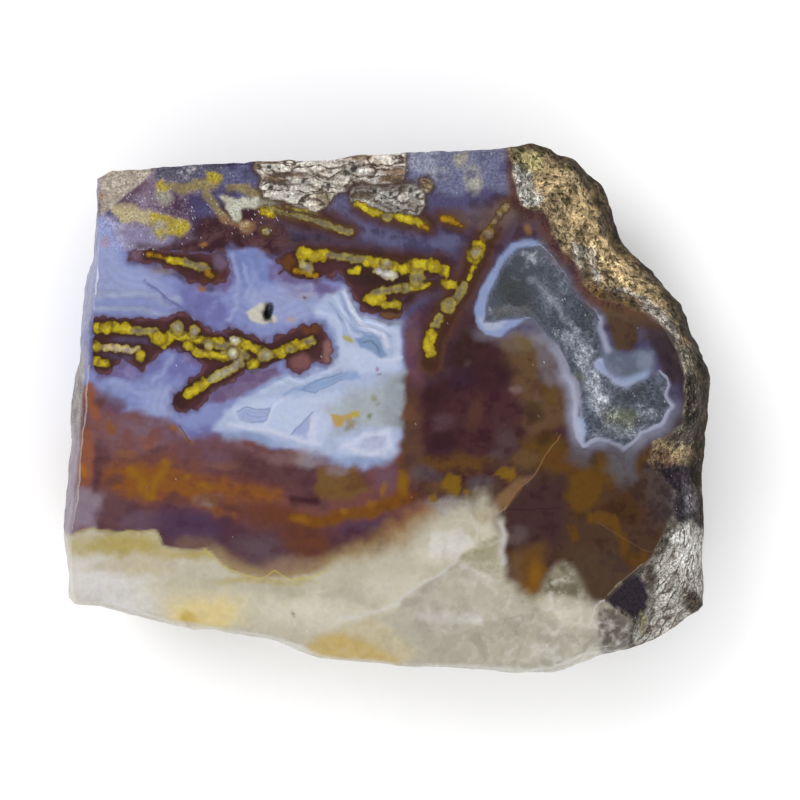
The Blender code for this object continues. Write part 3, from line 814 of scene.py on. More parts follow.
lay_spots((
    (BROWN_RED_DARK, 0.7, (110, 401), (13, 8)),
    (ORANGE_RUST, 0.8, (110, 428), (5, 7)),
    (RED_RUST, 0.7, (146, 440), (9, 7)),
    (BROWN_RED_DARK, 0.7, (103, 452), (8, 11)),
    (BROWN_RED_DARK, 0.8, (157, 449), (9, 5)),
    (mixed((24, 17, 15), (17, 8, 4), 50), 0.7, (208, 500), (12, 5)),
    ((26, 12.5, 3.5), 0.9, (297, 458), (7, 5)),
    ((6, 3, 2), 0.9, (291, 456), (2.4, 2)),
    (OCHRE_BRIGHT, 0.8, (206, 487), (6, 3)),
    (OCHRE_BRIGHT, 0.8, (186, 478), (5, 3)),
    (OCHRE_BRIGHT, 0.7, (300, 518), (9, 5)),
    (OCHRE_BRIGHT, 0.8, (342, 511), (5, 4)),
    (OCHRE_BRIGHT, 0.7, (373, 504), (7, 4)),
    (OCHRE_BRIGHT, 0.8, (386, 491), (3, 5)),
    ((24, 11.5, 0.4), 0.9, (405, 484), (6, 10)),
    (MAUVE_BROWN, 0.8, (318, 461), (12, 4)),
    (mixed((20, 12, 15), (15, 7, 9), 50), 0.8, (136, 428), (12, 6)),
    (mixed((18, 11, 16.5), (15, 7.5, 10), 50), 0.8, (170, 434), (12, 6)),
    (mixed((13, 6, 10.5), (15.5, 9, 16), 50), 0.8, (116, 408), (9, 6)),
    ((14.5, 5.6, 4.8), 0.7, (192, 452), (10, 7)),
    ((24.5, 10.5, 5), 0.7, (126, 452), (10, 5)),
    ((20, 11, 11), 0.8, (284, 458), (14, 7)),
    ((8.5, 2.8, 2.4), 0.8, (226, 520), (14, 8)),
    ((14, 8, 11.5), 0.8, (140, 520), (22, 9)),
    ((21, 9.2, 6), 0.6, (222, 466), (14, 4)),
    ((12, 4.6, 4.4), 0.7, (180, 500), (16, 5)),
    ((11.5, 4.6, 5), 0.7, (118, 478), (8, 5)),
    ((24, 16.5, 18), 0.8, (338, 470), (12, 4)),
))

# The plum centre, dark and cloudy, and the brown stone of the lower right, stained with
# ochre. Both are chalcedony, and a grey haze of fine quartz lies in them here and there.
PLUM = mixed((6.8, 2.7, 3), (4.4, 1.6, 2.1), 45)
PLUM_DARK = mixed((4, 1.5, 2), (5.5, 2.1, 2.6), 35)
PLUM_VIOLET = mixed((4.2, 2, 3.4), (3.4, 1.4, 2.2))
PLUM_MAUVE = mixed((9.5, 5, 6.2), (6.2, 2.8, 3.4))
BROWN_SOFT = mixed((12.2, 7, 3.4), (8.5, 4.4, 2.6))
BROWN_OLIVE = mixed((10.8, 5.5, 1.4), (7.6, 3.8, 1.4))
BROWN_DARK = mixed((7.4, 3.8, 2.4), (5, 2.4, 1.6))
PLUM_BROWN = mixed((6, 2.9, 2.8), (4.2, 1.9, 2))
OCHRE = mixed((12.2, 5.8, 0.4), (9, 4.1, 0.5), 35)
OCHRE_SPOT = mixed((19.5, 10.5, 0.6), (15, 7.8, 0.8), 35)
OCHRE_DEEP = mixed((11.2, 5.2, 0.6), (7.5, 3.5, 0.8))
HAZE = mixed((10.5, 8.2, 9.2), (7.5, 4.8, 5.2))
lay_zones((
    (PLUM, 8, (408, 318, 440, 300, 470, 310, 500, 345, 560, 340, 582, 400, 590, 450, 560, 470, 530, 480,
        500, 500, 416, 500, 408, 450, 408, 380)),
    (BROWN_SOFT, 12, (500, 340, 546, 330, 566, 380, 566, 420, 530, 440, 504, 366)),
    (BROWN_DARK, 8, (560, 300, 680, 300, 720, 340, 720, 470, 700, 610, 620, 620, 600, 650, 540, 650,
        470, 560, 460, 480, 530, 478, 546, 450, 580, 440, 660, 440, 690, 400, 660, 340, 600, 320,
        566, 318)),
    (BROWN_OLIVE, 9, (516, 440, 556, 436, 580, 446, 590, 470, 560, 476, 534, 472, 518, 462)),
    (PLUM_BROWN, 8, (530, 482, 560, 478, 568, 510, 566, 545, 500, 545, 496, 514, 510, 496)),
    (OCHRE_DEEP, 8, (568, 466, 598, 474, 602, 506, 580, 514, 568, 494)),
    (OCHRE_DEEP, 9, (588, 455, 620, 458, 616, 490, 596, 486)),
    (mixed((13, 6.2, 2), (18, 8.5, 1.6), 35), 8, (512, 552, 546, 544, 544, 582, 530, 600, 516, 586)),
    (mixed((8, 4.8, 2.8), (5.8, 3.4, 2.6)), 10, (566, 548, 640, 552, 636, 578, 600, 600, 578, 582)),
    ((10.5, 7.2, 4.2), 10, (600, 300, 700, 300, 690, 330, 640, 334, 604, 324)),
    (mixed((3.8, 2.6, 2.8), (6, 4.4, 4.8)), 9, (640, 326, 700, 330, 700, 432, 674, 440, 680, 400,
        664, 350)),
    (mixed((8, 5.5, 5), (4.5, 2.8, 2.8), 45), 10, (640, 462, 720, 440, 720, 530, 650, 528, 640, 500)),
), blur=2.0)
lay_spots((
    (PLUM_DARK, 0.9, (432, 393), (16, 20)),
    (PLUM_DARK, 0.9, (488, 372), (22, 18)),
    (PLUM_DARK, 0.9, (442, 442), (17, 16)),
    (PLUM_VIOLET, 0.9, (460, 372), (18, 20)),
    (PLUM_MAUVE, 0.8, (443, 421), (12, 9)),
    ((10, 4, 2.8), 0.8, (474, 412), (8, 15)),
    ((15, 8.5, 8.5), 0.6, (469, 363), (4, 4)),
    ((21, 13, 13), 0.8, (514, 392), (7, 4)),
    ((14.5, 8.8, 6), 0.6, (538, 399), (8, 4)),
    ((4.6, 2.2, 2), 0.9, (460, 346), (24, 22)),
    (mixed((16.5, 11.2, 5.5), (12.5, 7.5, 4)), 0.9, (526, 340), (15, 10)),
    ((6, 3.4, 1.8), 0.8, (534, 414), (9, 9)),
    ((5.5, 2.6, 1), 0.8, (545, 438), (9, 8)),
    ((14, 7.8, 3.4), 0.8, (524, 460), (14, 10)),
    (mixed((13, 9.5, 9), (9, 5.5, 5.5)), 0.6, (516, 534), (14, 9)),
    (HAZE, 0.4, (505, 436), (10, 14)),
    (HAZE, 0.5, (498, 462), (10, 12)),
    (mixed((15, 12.5, 13.5), (10.5, 8.5, 9.5)), 0.9, (548, 362), (13, 18)),
    ((12, 6.6, 1.6), 0.7, (548, 394), (9, 8)),
    (mixed((10, 4.2, 2.6), (7, 3, 2.6)), 0.7, (414, 404), (7, 30)),
    ((18, 6.6, 3), 0.8, (411, 414), (6, 7)),
    ((12, 4.8, 2.6), 0.8, (412, 372), (6, 6)),
    (mixed((12.5, 5.8, 1.4), (7.5, 3.2, 1.8), 45), 0.9, (462, 464), (44, 8)),
    (mixed((11.5, 5.8, 3.6), (8.5, 4, 3.4), 45), 0.8, (416, 440), (9, 44)),
    ((9, 4.2, 5.8), 0.7, (417, 380), (8, 12)),
    (HAZE, 0.7, (426, 476), (14, 8)),
    ((15, 7.5, 3), 0.7, (440, 488), (20, 8)),
    (mixed((29, 24.5, 22.5), (19, 13.5, 12.5)), 0.8, (452, 504), (26, 8)),
    (HAZE, 0.7, (482, 482), (14, 9)),
    ((15.5, 11.2, 8), 0.7, (510, 346), (12, 8)),
    (mixed((28, 24, 19), (18, 13.5, 10.5), 50), 0.7, (482, 494), (12, 8)),
    ((11.6, 5, 1.4), 0.9, (560, 462), (18, 11)),
    (OCHRE_DEEP, 0.8, (641, 460), (6, 12)),
    (mixed((6.6, 3, 1), (4.5, 1.8, 0.8)), 0.8, (628, 508), (20, 14)),
    (mixed((21.5, 9.5, 1), (15, 6.2, 1), 35), 0.9, (535, 576), (6, 17)),
    ((15, 8.8, 5.2), 0.5, (516, 568), (6, 14)),
    ((10.5, 6.2, 2.8), 0.8, (661, 452), (13, 11)),
    (mixed((11, 10, 12), (4.5, 3.5, 4.5), 50), 0.8, (684, 500), (15, 18)),
))
lay_zones((
    (OCHRE, 5, (572, 470, 590, 466, 600, 478, 602, 494, 592, 508, 578, 512, 568, 500)),
    (OCHRE, 3.5, (588, 514, 602, 512, 617, 515, 620, 528, 618, 540, 612, 528, 600, 524, 588, 524)),
    (OCHRE_DEEP, 3.5, (568, 526, 575, 526, 580, 540, 573, 543)),
    (OCHRE_DEEP, 5, (618, 532, 628, 536, 630, 552, 646, 552, 650, 560, 634, 570, 622, 560)),
    (OCHRE_SPOT, 3, (441, 482, 447, 474, 460, 476, 462, 490, 457, 497, 442, 487)),
    (OCHRE_SPOT, 3, (494, 474, 500, 467, 514, 468, 516, 476, 510, 481, 503, 477)),
    (OCHRE_SPOT, 3, (428, 496, 434, 493, 437, 500, 431, 503)),
    (OCHRE_SPOT, 3, (464, 491, 468, 489, 470, 494, 466, 496)),
    (mixed((21.5, 12, 5.8), (17, 9.2, 4.5)), 6, (532, 476, 507, 507, 492, 514, 498, 496, 510, 484,
        520, 478)),
), near_exact)

# The milky quartz of the lowest quarter, coarse white crystal that fills the end of the
# nodule, with honey stains and a thin yellow line where the chalcedony ends.
QUARTZ = mixed((52, 47.8, 37), (45, 41, 30.5), 45)
QUARTZ_WHITE = mixed((68, 66, 65), (60, 57, 53.5))
QUARTZ_BRIGHT = mixed((63, 59, 48), (55, 50.5, 39))
QUARTZ_BEIGE = mixed((52, 46, 37), (56, 51, 43))
QUARTZ_GREY = mixed((37, 34.5, 28.5), (44, 41, 34), 45)
QUARTZ_GREEN = mixed((34.5, 32.5, 21.5), (28, 26.2, 16.5))
BUMP_BROWN = mixed((15, 13, 8.6), (24, 21.5, 15.5), 42)
HONEY = mixed((68, 56, 27.5), (62, 49, 20))
HONEY_DEEP = mixed((53, 39.5, 16), (47, 34, 13))
CONTACT_YELLOW = mixed((43, 34.5, 12), (37, 29, 11), 45)
CONTACT = (
    20, 534, 73, 533, 94, 528, 117, 533, 154, 530, 160, 538, 162, 545, 180, 549, 198, 550, 206, 549,
    222, 564, 241, 573, 258, 579, 282, 575, 292, 578, 356, 557, 372, 554, 392, 548, 408, 538, 433, 516,
    446, 508, 470, 505, 482, 498, 490, 506, 499, 518, 503, 535, 502, 555, 505, 575, 519, 592, 534, 600,
    546, 584, 553, 569, 562, 565, 572, 574, 586, 604, 596, 607, 610, 604, 624, 618, 640, 640, 640, 760,
    20, 760,
)
contact_clouds = 0.35 * place + 0.65 * near_exact
quartz_depth = outline_depth(contact_clouds, CONTACT)
contact_soft = 6.0 + 20.0 * rightward(300, 380) - 9.0 * rightward(478, 500)
quartz_depth += 0.25 * contact_soft * fray
quartz = eased(quartz_depth, -0.5 * contact_soft, 0.5 * contact_soft)
stained = eased(quartz_depth, -18.0, -3.0) * rightward(195, 225) * rightward(440, 400)
lay(paint, mixed((37, 27, 14), (26, 18, 11)), 0.8 * stained)
lay_spots((
    ((20, 12, 9.5), 0.75, (188, 541), (15, 8)),
    ((26, 16.5, 11.5), 0.75, (288, 563), (22, 8)),
    ((28, 23.5, 28), 0.7, (308, 459), (15, 9)),
    ((7, 3.8, 8.5), 0.5, (196, 521), (46, 14)),
    ((18, 15, 26), 0.55, (152, 237), (32, 10)),
))
lay(paint, QUARTZ, quartz)
lay_spots((
    (QUARTZ_WHITE, 0.9, (100, 580), (44, 26)),
    (QUARTZ_BEIGE, 0.9, (158, 562), (26, 16)),
    (QUARTZ_WHITE, 1.0, (140, 606), (34, 14)),
    (QUARTZ_GREY, 0.5, (230, 588), (40, 10)),
    (CONTACT_YELLOW, 1.0, (124, 545), (50, 13)),
    ((52, 44, 30), 0.8, (130, 568), (40, 8)),
    (CONTACT_YELLOW, 0.9, (190, 553), (30, 6)),
    (CONTACT_YELLOW, 0.8, (262, 581), (48, 4)),
    ((62, 55, 38), 0.8, (200, 604), (56, 20)),
    (HONEY, 1.0, (206, 614), (36, 18)),
    ((52, 36, 6), 0.8, (190, 618), (8, 8)),
    ((30, 18, 3), 0.9, (190, 624), (2, 2)),
    (QUARTZ_BRIGHT, 0.8, (300, 612), (48, 16)),
    (QUARTZ_GREEN, 0.45, (286, 590), (16, 10)),
    (QUARTZ_BRIGHT, 0.8, (448, 552), (26, 14)),
    (QUARTZ_BRIGHT, 0.7, (400, 590), (34, 16)),
    (QUARTZ_GREY, 0.6, (470, 586), (20, 10)),
    ((44, 36, 25), 0.7, (484, 514), (12, 7)),
    (mixed((42, 39.5, 33.5), (34, 32, 26.5), 45), 0.9, (578, 636), (46, 24)),
    (QUARTZ_GREY, 0.7, (440, 646), (30, 12)),
    (QUARTZ_GREY, 0.5, (520, 660), (30, 10)),
    ((42, 38, 27), 0.7, (540, 662), (40, 7)),
    ((40, 38, 17), 0.8, (534, 600), (7, 4)),
    (mixed((19, 17.2, 13.8), (32, 30, 26)), 1.0, (626, 628), (24, 20)),
    ((36, 34, 29), 1.0, (566, 662), (44, 12)),
    ((13, 9.5, 5), 0.9, (292, 615), (2.6, 2)),
    ((15, 11, 6), 0.9, (424, 634), (2, 2)),
    ((15, 11, 6), 0.9, (428, 641), (2.6, 2)),
    ((14, 11, 7), 0.9, (448, 646), (2.6, 1.8)),
    ((30, 18, 7), 0.9, (443, 661), (5, 4)),
), quartz)
HONEY_FACET = (302, 662, 308, 646, 320, 636, 344, 632, 396, 656, 404, 680, 306, 690)
BELOW_VEIN = (
    310, 650, 324, 639, 342, 631, 396, 612, 408, 600, 442, 574, 460, 562, 480, 572, 500, 580, 516, 592,
    600, 600, 600, 690, 300, 690,
)
QUARTZ_FACETS = (
    (mixed((43, 40.5, 32.5), (38, 35.5, 28.5)), 3, 0.9, BELOW_VEIN),
    (mixed((54, 46.5, 31), (50, 42, 27)), 14, 0.9, (322, 640, 344, 624, 372, 618, 398, 632, 416, 650,
        404, 680, 330, 680)),
    (HONEY_DEEP, 12, 1.0, HONEY_FACET),
    ((47, 43, 33), 5, 0.8, (318, 596, 340, 586, 362, 590, 368, 604, 352, 606)),
    (QUARTZ_GREEN, 5, 1.0, (459, 557, 488, 540, 498, 532, 502, 546, 499, 578, 466, 565)),
    (QUARTZ_WHITE, 6, 0.6, (416, 612, 440, 611, 482, 616, 484, 624, 440, 624, 418, 620)),
    (QUARTZ_GREY, 3, 0.7, (400, 602, 418, 588, 434, 578, 440, 590, 424, 604, 408, 610)),
    (mixed((12.5, 11, 8.8), (27, 25, 21), 42), 6, 1.0, (600, 606, 616, 608, 634, 618, 640, 640, 640, 670,
        604, 660, 598, 636)),
    (QUARTZ_GREY, 3, 0.6, (536, 632, 548, 628, 556, 640, 552, 656, 538, 650)),
    (QUARTZ_BRIGHT, 3, 0.3, (556, 614, 584, 604, 600, 612, 590, 626, 562, 628)),
    (QUARTZ_BRIGHT, 5, 0.6, (290, 612, 340, 596, 372, 612, 318, 632)),
    (QUARTZ_GREY, 5, 0.5, (404, 612, 440, 600, 470, 618, 450, 634, 414, 630)),
    (QUARTZ_WHITE, 5, 0.5, (430, 530, 462, 528, 474, 546, 452, 562, 428, 556)),
)
for colour, soft, strength, outline in QUARTZ_FACETS:
    lay(paint, colour, strength * quartz * cover(outline_depth(contact_clouds, outline), soft))
lay_zones((
    (BUMP_BROWN, 8, (541, 594, 548, 576, 556, 566, 566, 562, 589, 598, 550, 596)),
), near_exact)
lay_streaks((
    ((56, 53, 50), 7, 2.2, (500, 522, 505, 534, 501, 550, 503, 562)),
    ((64, 61.5, 55), 7, 1.6, (340, 618, 362, 616, 398, 604)),
    ((60, 58, 53), 4, 1.2, (396, 606, 404, 596, 422, 583, 438, 576, 458, 559)),
    ((56, 54, 47), 6, 1.4, (462, 566, 480, 574, 500, 582)),
    ((30, 27, 22), 3, 0.6, (564, 563, 574, 575, 584, 596)),
), near_exact)

# The dark halos of iron oxide round the needles, maroon inside and red-brown at the edge,
# and the needles themselves: yellow and olive rods of old mineral, grey in their cores.
HALO_EDGE = (13.5, 5.8, 7.2)
HALO_CORE = (7, 2.8, 3.2)
HALO_PURPLE = (8.5, 6.2, 11.5)
HALO_ORANGE = mixed((11.5, 4.6, 1.4), (7.5, 2.8, 1.4))
HALOS = (
    (128, 251, 141, 246, 197, 254, 222, 254, 228, 264, 231, 274, 228, 282, 208, 287, 187, 282, 166, 268,
        152, 264, 139, 263, 130, 260),
    (70, 314, 94, 315, 110, 318, 164, 318, 176, 312, 190, 314, 214, 331, 226, 331, 236, 325, 246, 332,
        258, 338, 268, 341, 278, 335, 296, 329, 304, 323, 318, 322, 327, 332, 332, 346, 333, 358,
        328, 365, 316, 362, 308, 370, 298, 374, 287, 369, 282, 361, 266, 369, 250, 370, 228, 386,
        214, 392, 196, 410, 181, 412, 170, 405, 172, 393, 200, 373, 204, 366, 196, 358, 178, 352,
        164, 350, 153, 362, 142, 371, 132, 367, 124, 358, 108, 376, 94, 372, 70, 362),
    (276, 264, 279, 250, 299, 243, 347, 245, 445, 255, 456, 264, 454, 275, 440, 288, 420, 296, 407, 306,
        401, 316, 388, 320, 378, 315, 366, 315, 357, 304, 350, 288, 338, 275, 328, 278, 299, 280,
        281, 273),
    (256, 186, 290, 200, 330, 212, 352, 222, 360, 232, 350, 240, 300, 228, 260, 216),
    (352, 198, 430, 212, 440, 224, 432, 234, 380, 224, 352, 212),
    (436, 212, 460, 212, 470, 222, 464, 232, 446, 230, 436, 222),
)
CLOUDY = (
    0, 0, 800, 0, 800, 800, 411, 800, 408, 318, 404, 300, 420, 284, 440, 276, 440, 262, 330, 262,
    300, 252, 262, 252, 232, 256, 196, 252, 150, 250, 120, 240, 0, 236,
)
HALO_CLOUD = mixed((8.8, 4.5, 5.6), (6, 3, 4))
HALO_DEEP = mixed((5.8, 2.4, 1.4), (4, 1.6, 1.2))
DIAGONAL = (508, 206, 487, 237, 470, 276, 458, 294, 432, 340, 430, 362)
halo_place = bent(1.6, 2.0)
no_halo = nowhere(60.0)
halo = no_halo
for outline in HALOS:
    halo = np.maximum(halo, outline_depth(halo_place, outline) - 0.5 * depth_steps)
band_place = -halo
cloudy = cover(outline_depth(place, CLOUDY), 6)
lay(paint, HALO_CLOUD, 0.9 * cloudy * eased(halo, -8.0, 1.0))
lay(paint, HALO_DEEP, 0.9 * cloudy * eased(halo, -1.0, 6.0))
halo = np.where(cloudy > 0.5, no_halo, halo)
diagonal_away = path_distance(halo_place, DIAGONAL)
below_strip = downward(190, 205)
left_of_chain = rightward(430, 412) * downward(270, 290)
lay(paint, mixed((7.2, 3.6, 4.8), (5, 2.4, 3.2)), 0.7 * eased(diagonal_away, 28, 16) * below_strip)
lay(paint, mixed((15, 6.2, 8.5), (10.5, 4.8, 7.5), 50), left_of_chain * eased(diagonal_away, 30, 20))
lay(paint, HALO_ORANGE, 0.5 * eased(diagonal_away, 18, 11) * below_strip)
lay(paint, HALO_DEEP, 0.85 * eased(diagonal_away, 12, 7) * below_strip)

halo_paint = np.tile(HALO_EDGE, (len(points), 1)).astype(float)
lay(halo_paint, HALO_CORE, eased(halo, 1.5, 5.0))
HALO_SPOTS = (
    (HALO_PURPLE, 0.9, (138, 340), (26, 5)),
    ((11, 8.5, 17), 0.7, (186, 352), (9, 6)),
    (HALO_PURPLE, 0.8, (122, 356), (22, 4)),
    ((17, 14.5, 27), 0.9, (254, 382), (16, 7)),
    ((25, 12.5, 11.5), 0.9, (328, 352), (5, 12)),
    ((20, 8.5, 8.5), 0.9, (302, 362), (12, 8)),
    ((15, 5.5, 2), 0.8, (312, 330), (9, 6)),
    ((4, 1.8, 1.6), 0.8, (180, 401), (10, 7)),
    ((16, 11, 18), 0.8, (220, 262), (8, 9)),
    ((17, 10, 14), 0.8, (136, 254), (8, 7)),
    ((3.4, 1.9, 1.7), 0.9, (384, 276), (32, 12)),
    ((15, 5.8, 1.4), 0.8, (288, 264), (8, 8)),
    ((15, 5.5, 1.4), 0.8, (212, 278), (8, 5)),
    ((11.5, 9, 13), 0.9, (408, 304), (16, 5)),
    ((13, 10, 11.5), 0.8, (225, 392), (12, 6)),
    ((15, 7.5, 3), 0.9, (386, 316), (24, 4)),
)
for colour, strength, middle, half in HALO_SPOTS:
    away = np.linalg.norm((halo_place - middle) / half, axis=1)
    lay(halo_paint, colour, strength * eased(away, 1.4, 0.5))
lay_spots((
    (mixed((14, 7, 7.5), (10, 5, 8)), 0.9, (414, 334), (7, 16)),
    (mixed((8.5, 5.5, 8), (5.5, 2.8, 3.5)), 0.9, (528, 226), (22, 18)),
    ((24, 12.5, 6), 0.9, (528, 230), (5, 7)),
    (mixed((15, 10.5, 10), (8.5, 4.5, 4.5), 50), 0.8, (500, 214), (10, 14)),
    ((33, 14, 4.5), 1.0, (203, 286), (6, 5)),
    ((30, 13, 3), 1.0, (203, 246), (3.5, 3)),
))

# Kinds of rod: the colour of the side and the colour of the core
YELLOW = ((35.5, 26.2, 1), (47, 37.5, 3))
OLIVE = ((29, 22, 5), (21.5, 18, 9))
CREAM = ((40, 30, 13), (44, 36, 21.5))
GREY = ((31, 24, 5.5), (33, 30, 19))
AMBER = ((23, 10.5, 1), (31, 18.5, 1.2))
WHITE = ((40, 35, 18), (56, 55, 49))
DUN = ((15, 9.5, 4.5), (23, 17, 11))
# Each needle: its kind, half width and path
NEEDLES = (
    (AMBER, 3.4, (149, 254, 160, 257, 170, 260)),
    (YELLOW, 4.0, (168, 260, 184, 263)),
    (OLIVE, 4.4, (184, 263, 206, 269)),
    (AMBER, 3.5, (205, 270, 212, 277)),
    (YELLOW, 6.0, (95, 328, 112, 328, 128, 329)),
    (OLIVE, 4.2, (128, 330, 142, 331, 156, 332)),
    (YELLOW, 7.0, (156, 337, 163, 341, 168, 339)),
    (YELLOW, 5.4, (170, 336, 188, 337, 220, 343)),
    (OLIVE, 5.5, (206, 341, 236, 350, 246, 356)),
    (YELLOW, 6.0, (236, 341, 250, 346, 258, 350)),
    (YELLOW, 5.0, (194, 350, 210, 355, 228, 358)),
    (OLIVE, 5.5, (222, 356, 236, 358, 241, 364)),
    (GREY, 6.0, (239, 361, 234, 369, 211, 380)),
    (YELLOW, 6.0, (206, 382, 198, 388, 188, 393)),
    (YELLOW, 6.0, (251, 364, 256, 363)),
    (OLIVE, 6.5, (262, 357, 270, 354)),
    (YELLOW, 6.5, (280, 352, 292, 347, 304, 344)),
    (OLIVE, 5.0, (304, 343, 312, 340)),
    (CREAM, 4.2, (101, 347, 118, 349, 138, 349)),
    (YELLOW, 5.5, (92, 361, 104, 363)),
    (OLIVE, 3.8, (262, 207, 306, 218, 350, 232)),
    (YELLOW, 5.0, (262, 210, 272, 214)),
    (OLIVE, 2.6, (262, 201, 290, 206, 318, 214)),
    (YELLOW, 4.4, (358, 203, 372, 211, 386, 215, 400, 215)),
    (YELLOW, 4.8, (398, 216, 410, 219, 422, 223)),
    (AMBER, 3.6, (420, 223, 428, 229)),
    (AMBER, 4.2, (443, 219, 454, 222, 462, 226)),
    (YELLOW, 6.5, (301, 254, 314, 256, 324, 256)),
    (OLIVE, 4.6, (324, 256, 344, 257, 366, 260)),
    (YELLOW, 5.6, (368, 262, 402, 268, 420, 266)),
    (YELLOW, 6.0, (414, 264, 430, 265, 444, 270)),
    (YELLOW, 4.0, (350, 271, 358, 269)),
    (WHITE, 5.8, (379, 270, 386, 273, 393, 276)),
    (AMBER, 4.0, (296, 270, 308, 274, 316, 277)),
    (GREY, 6.0, (302, 266, 308, 269)),
    (OLIVE, 5.0, (376, 292, 392, 289, 410, 288)),
    (YELLOW, 4.0, (410, 288, 428, 285)),
    (YELLOW, 7.5, (372, 299, 380, 299)),
    (YELLOW, 5.0, (384, 304, 398, 304)),
    (DUN, 5.0, (506, 206, 494, 222)),
    (AMBER, 6.0, (489, 230, 485, 238)),
    (YELLOW, 8.0, (479, 248, 474, 258)),
    (YELLOW, 3.2, (473, 268, 468, 280)),
    (OLIVE, 5.2, (464, 284, 458, 296, 450, 306)),
    (YELLOW, 5.0, (446, 284, 452, 284)),
    (OLIVE, 4.5, (440, 316, 436, 324)),
    (YELLOW, 6.5, (432, 334, 427, 344, 430, 352)),
)
# Each bead: its kind, middle and radius
BEADS = (
    (YELLOW, (160, 338), 7), (GREY, (177, 328), 7.5), (GREY, (194, 331), 6.5), (GREY, (208, 345), 6),
    (WHITE, (235, 341), 6), (YELLOW, (188, 346), 6),
    (WHITE, (233, 354), 6), (YELLOW, (254, 364), 6), (GREY, (266, 355), 8), (YELLOW, (96, 346), 6.5),
    (YELLOW, (140, 356), 6), (YELLOW, (103, 364), 5.5), (GREY, (267, 231), 5),
    (OLIVE, (417, 278), 8.5), (YELLOW, (106, 329), 6.5), (YELLOW, (434, 267), 7),
    (DUN, (488, 234), 7.5), (OLIVE, (448, 306), 9), (OLIVE, (386, 217), 6), (DUN, (500, 214), 5),
    (YELLOW, (404, 268), 6.5), (GREY, (386, 264), 6), (OLIVE, (398, 289), 5.5),
    (GREY, (476, 254), 6), (OLIVE, (290, 349), 5),
)


def cored(kind, core):
    """The colour of a rod: its side's where `core` is 0 and its core's where that is 1."""
    return np.outer(1.0 - core, kind[0]) + np.outer(core, kind[1])


needle_place = bent(1.3, 1.5)
swell_along = 1.0 + 0.22 * clouds(points, 1.3, 26, 2)
inlay = nowhere(40.0)
inlay_paint = np.tile(YELLOW[0], (len(points), 1)).astype(float)
for kind, half_width, path in NEEDLES:
    away = np.hypot(path_distance(needle_place, path), depth_steps)
    inside = half_width * swell_along - away
    core = eased(inside / half_width, 0.3, 0.85)
    colour = cored(kind, core)
    chosen = inside > inlay
    inlay_paint[chosen] = colour[chosen]
    inlay = np.maximum(inlay, inside)
for kind, middle, radius in BEADS:
    away = np.hypot(np.linalg.norm(needle_place - middle, axis=1), depth_steps)
    inside = radius * (0.8 + 0.2 * swell_along) - away
    core = eased(inside / radius, 0.35, 0.7)
    colour = cored(kind, core)
    lay(inlay_paint, (13, 8.8, 1.8), 0.75 * eased(np.abs(inside + 0.6), 2.2, 0.6))
    amount = eased(inside, 0.0, 1.4)[:, None]
    inlay_paint += amount * (colour - inlay_paint)
    inlay = np.maximum(inlay, inside)

# The needles that the polish hasn't reached. They are the same old mineral, weathered to dull
# patches in the unpolished strip: cream at the left, with olive and grey-green lumps over it.
on_face = eased(depth, 9.0, 4.0)
PATCH_CREAM = mixed((47, 40, 24), (29, 22.5, 14), 45)
PATCH_YELLOW = mixed((40, 31, 4.5), (29, 20.5, 6))
PATCH_OLIVE = mixed((27, 21.5, 10), (16, 12, 8.5), 45)
PATCH_RING = mixed((33, 30.5, 25), (25, 22.5, 19))
PATCH_GREEN = mixed((50, 50, 41), (29, 27, 20))
PATCH_BROWN = mixed((24, 13.5, 6), (13, 6.5, 4.5), 45)
lay_zones((
    (PATCH_CREAM, 4, (108, 205, 122, 204, 164, 214, 160, 232, 134, 221, 122, 223, 114, 217)),
    (PATCH_OLIVE, 4, (146, 222, 158, 226, 170, 234, 162, 240, 152, 234)),
    (PATCH_YELLOW, 3.5, (150, 211, 180, 218, 190, 224, 189, 232, 181, 238, 170, 236, 150, 222)),
    (PATCH_OLIVE, 5, (156, 184, 190, 182, 206, 176, 222, 176, 222, 184, 206, 190, 188, 192, 168, 190,
        158, 192)),
    (PATCH_YELLOW, 3.5, (204, 172, 214, 170, 223, 174, 220, 183, 208, 182)),
    (PATCH_YELLOW, 3.5, (154, 184, 162, 181, 169, 186, 167, 193, 157, 193)),
    (PATCH_OLIVE, 3.5, (198, 184, 206, 186, 214, 194, 220, 206, 230, 220, 222, 220, 202, 196)),
    (PATCH_BROWN, 5, (222, 216, 236, 222, 254, 222, 256, 230, 240, 230, 226, 224)),
    (PATCH_OLIVE, 3.5, (226, 184, 244, 184, 262, 192, 258, 198, 240, 192, 226, 190)),
    (PATCH_GREEN, 3, (220, 195, 262, 198, 284, 204, 262, 208, 247, 208, 240, 212, 241, 221, 233, 220,
        227, 208)),
), lumpy, within=on_face)
lay_spots((
    (PATCH_RING, 0.95, (163, 200), (9, 6)),
    (PATCH_RING, 0.9, (161, 229), (9, 8)),
    (PATCH_YELLOW, 1.0, (161, 232), (5, 4)),
    (PATCH_YELLOW, 0.8, (181, 228), (8, 6)),
    ((44, 32, 17), 0.9, (247, 225), (5, 3)),
    ((36, 28, 17), 0.9, (426, 185), (5, 5)),
))

# Halos and needles end at the left edge of the face. Close to a needle the stone is stained
# brown, darker below the unpolished strip than in it.
LEFT_EDGE = 93.0
STRIP_FOOT = 232
halo = np.minimum(halo, exact[:, 0] - LEFT_EDGE)
inlay = np.minimum(inlay, exact[:, 0] - LEFT_EDGE)
near_needle = eased(inlay, -4.5, -0.5)
lay(halo_paint, (5, 2.2, 1.2), 0.8 * near_needle)
lay(paint, mixed((7.5, 3.4, 1.6)), 0.7 * near_needle * (exact[:, 1] > STRIP_FOOT))
lay(paint, mixed((12, 6.2, 3.4)), 0.6 * near_needle * (exact[:, 1] <= STRIP_FOOT))

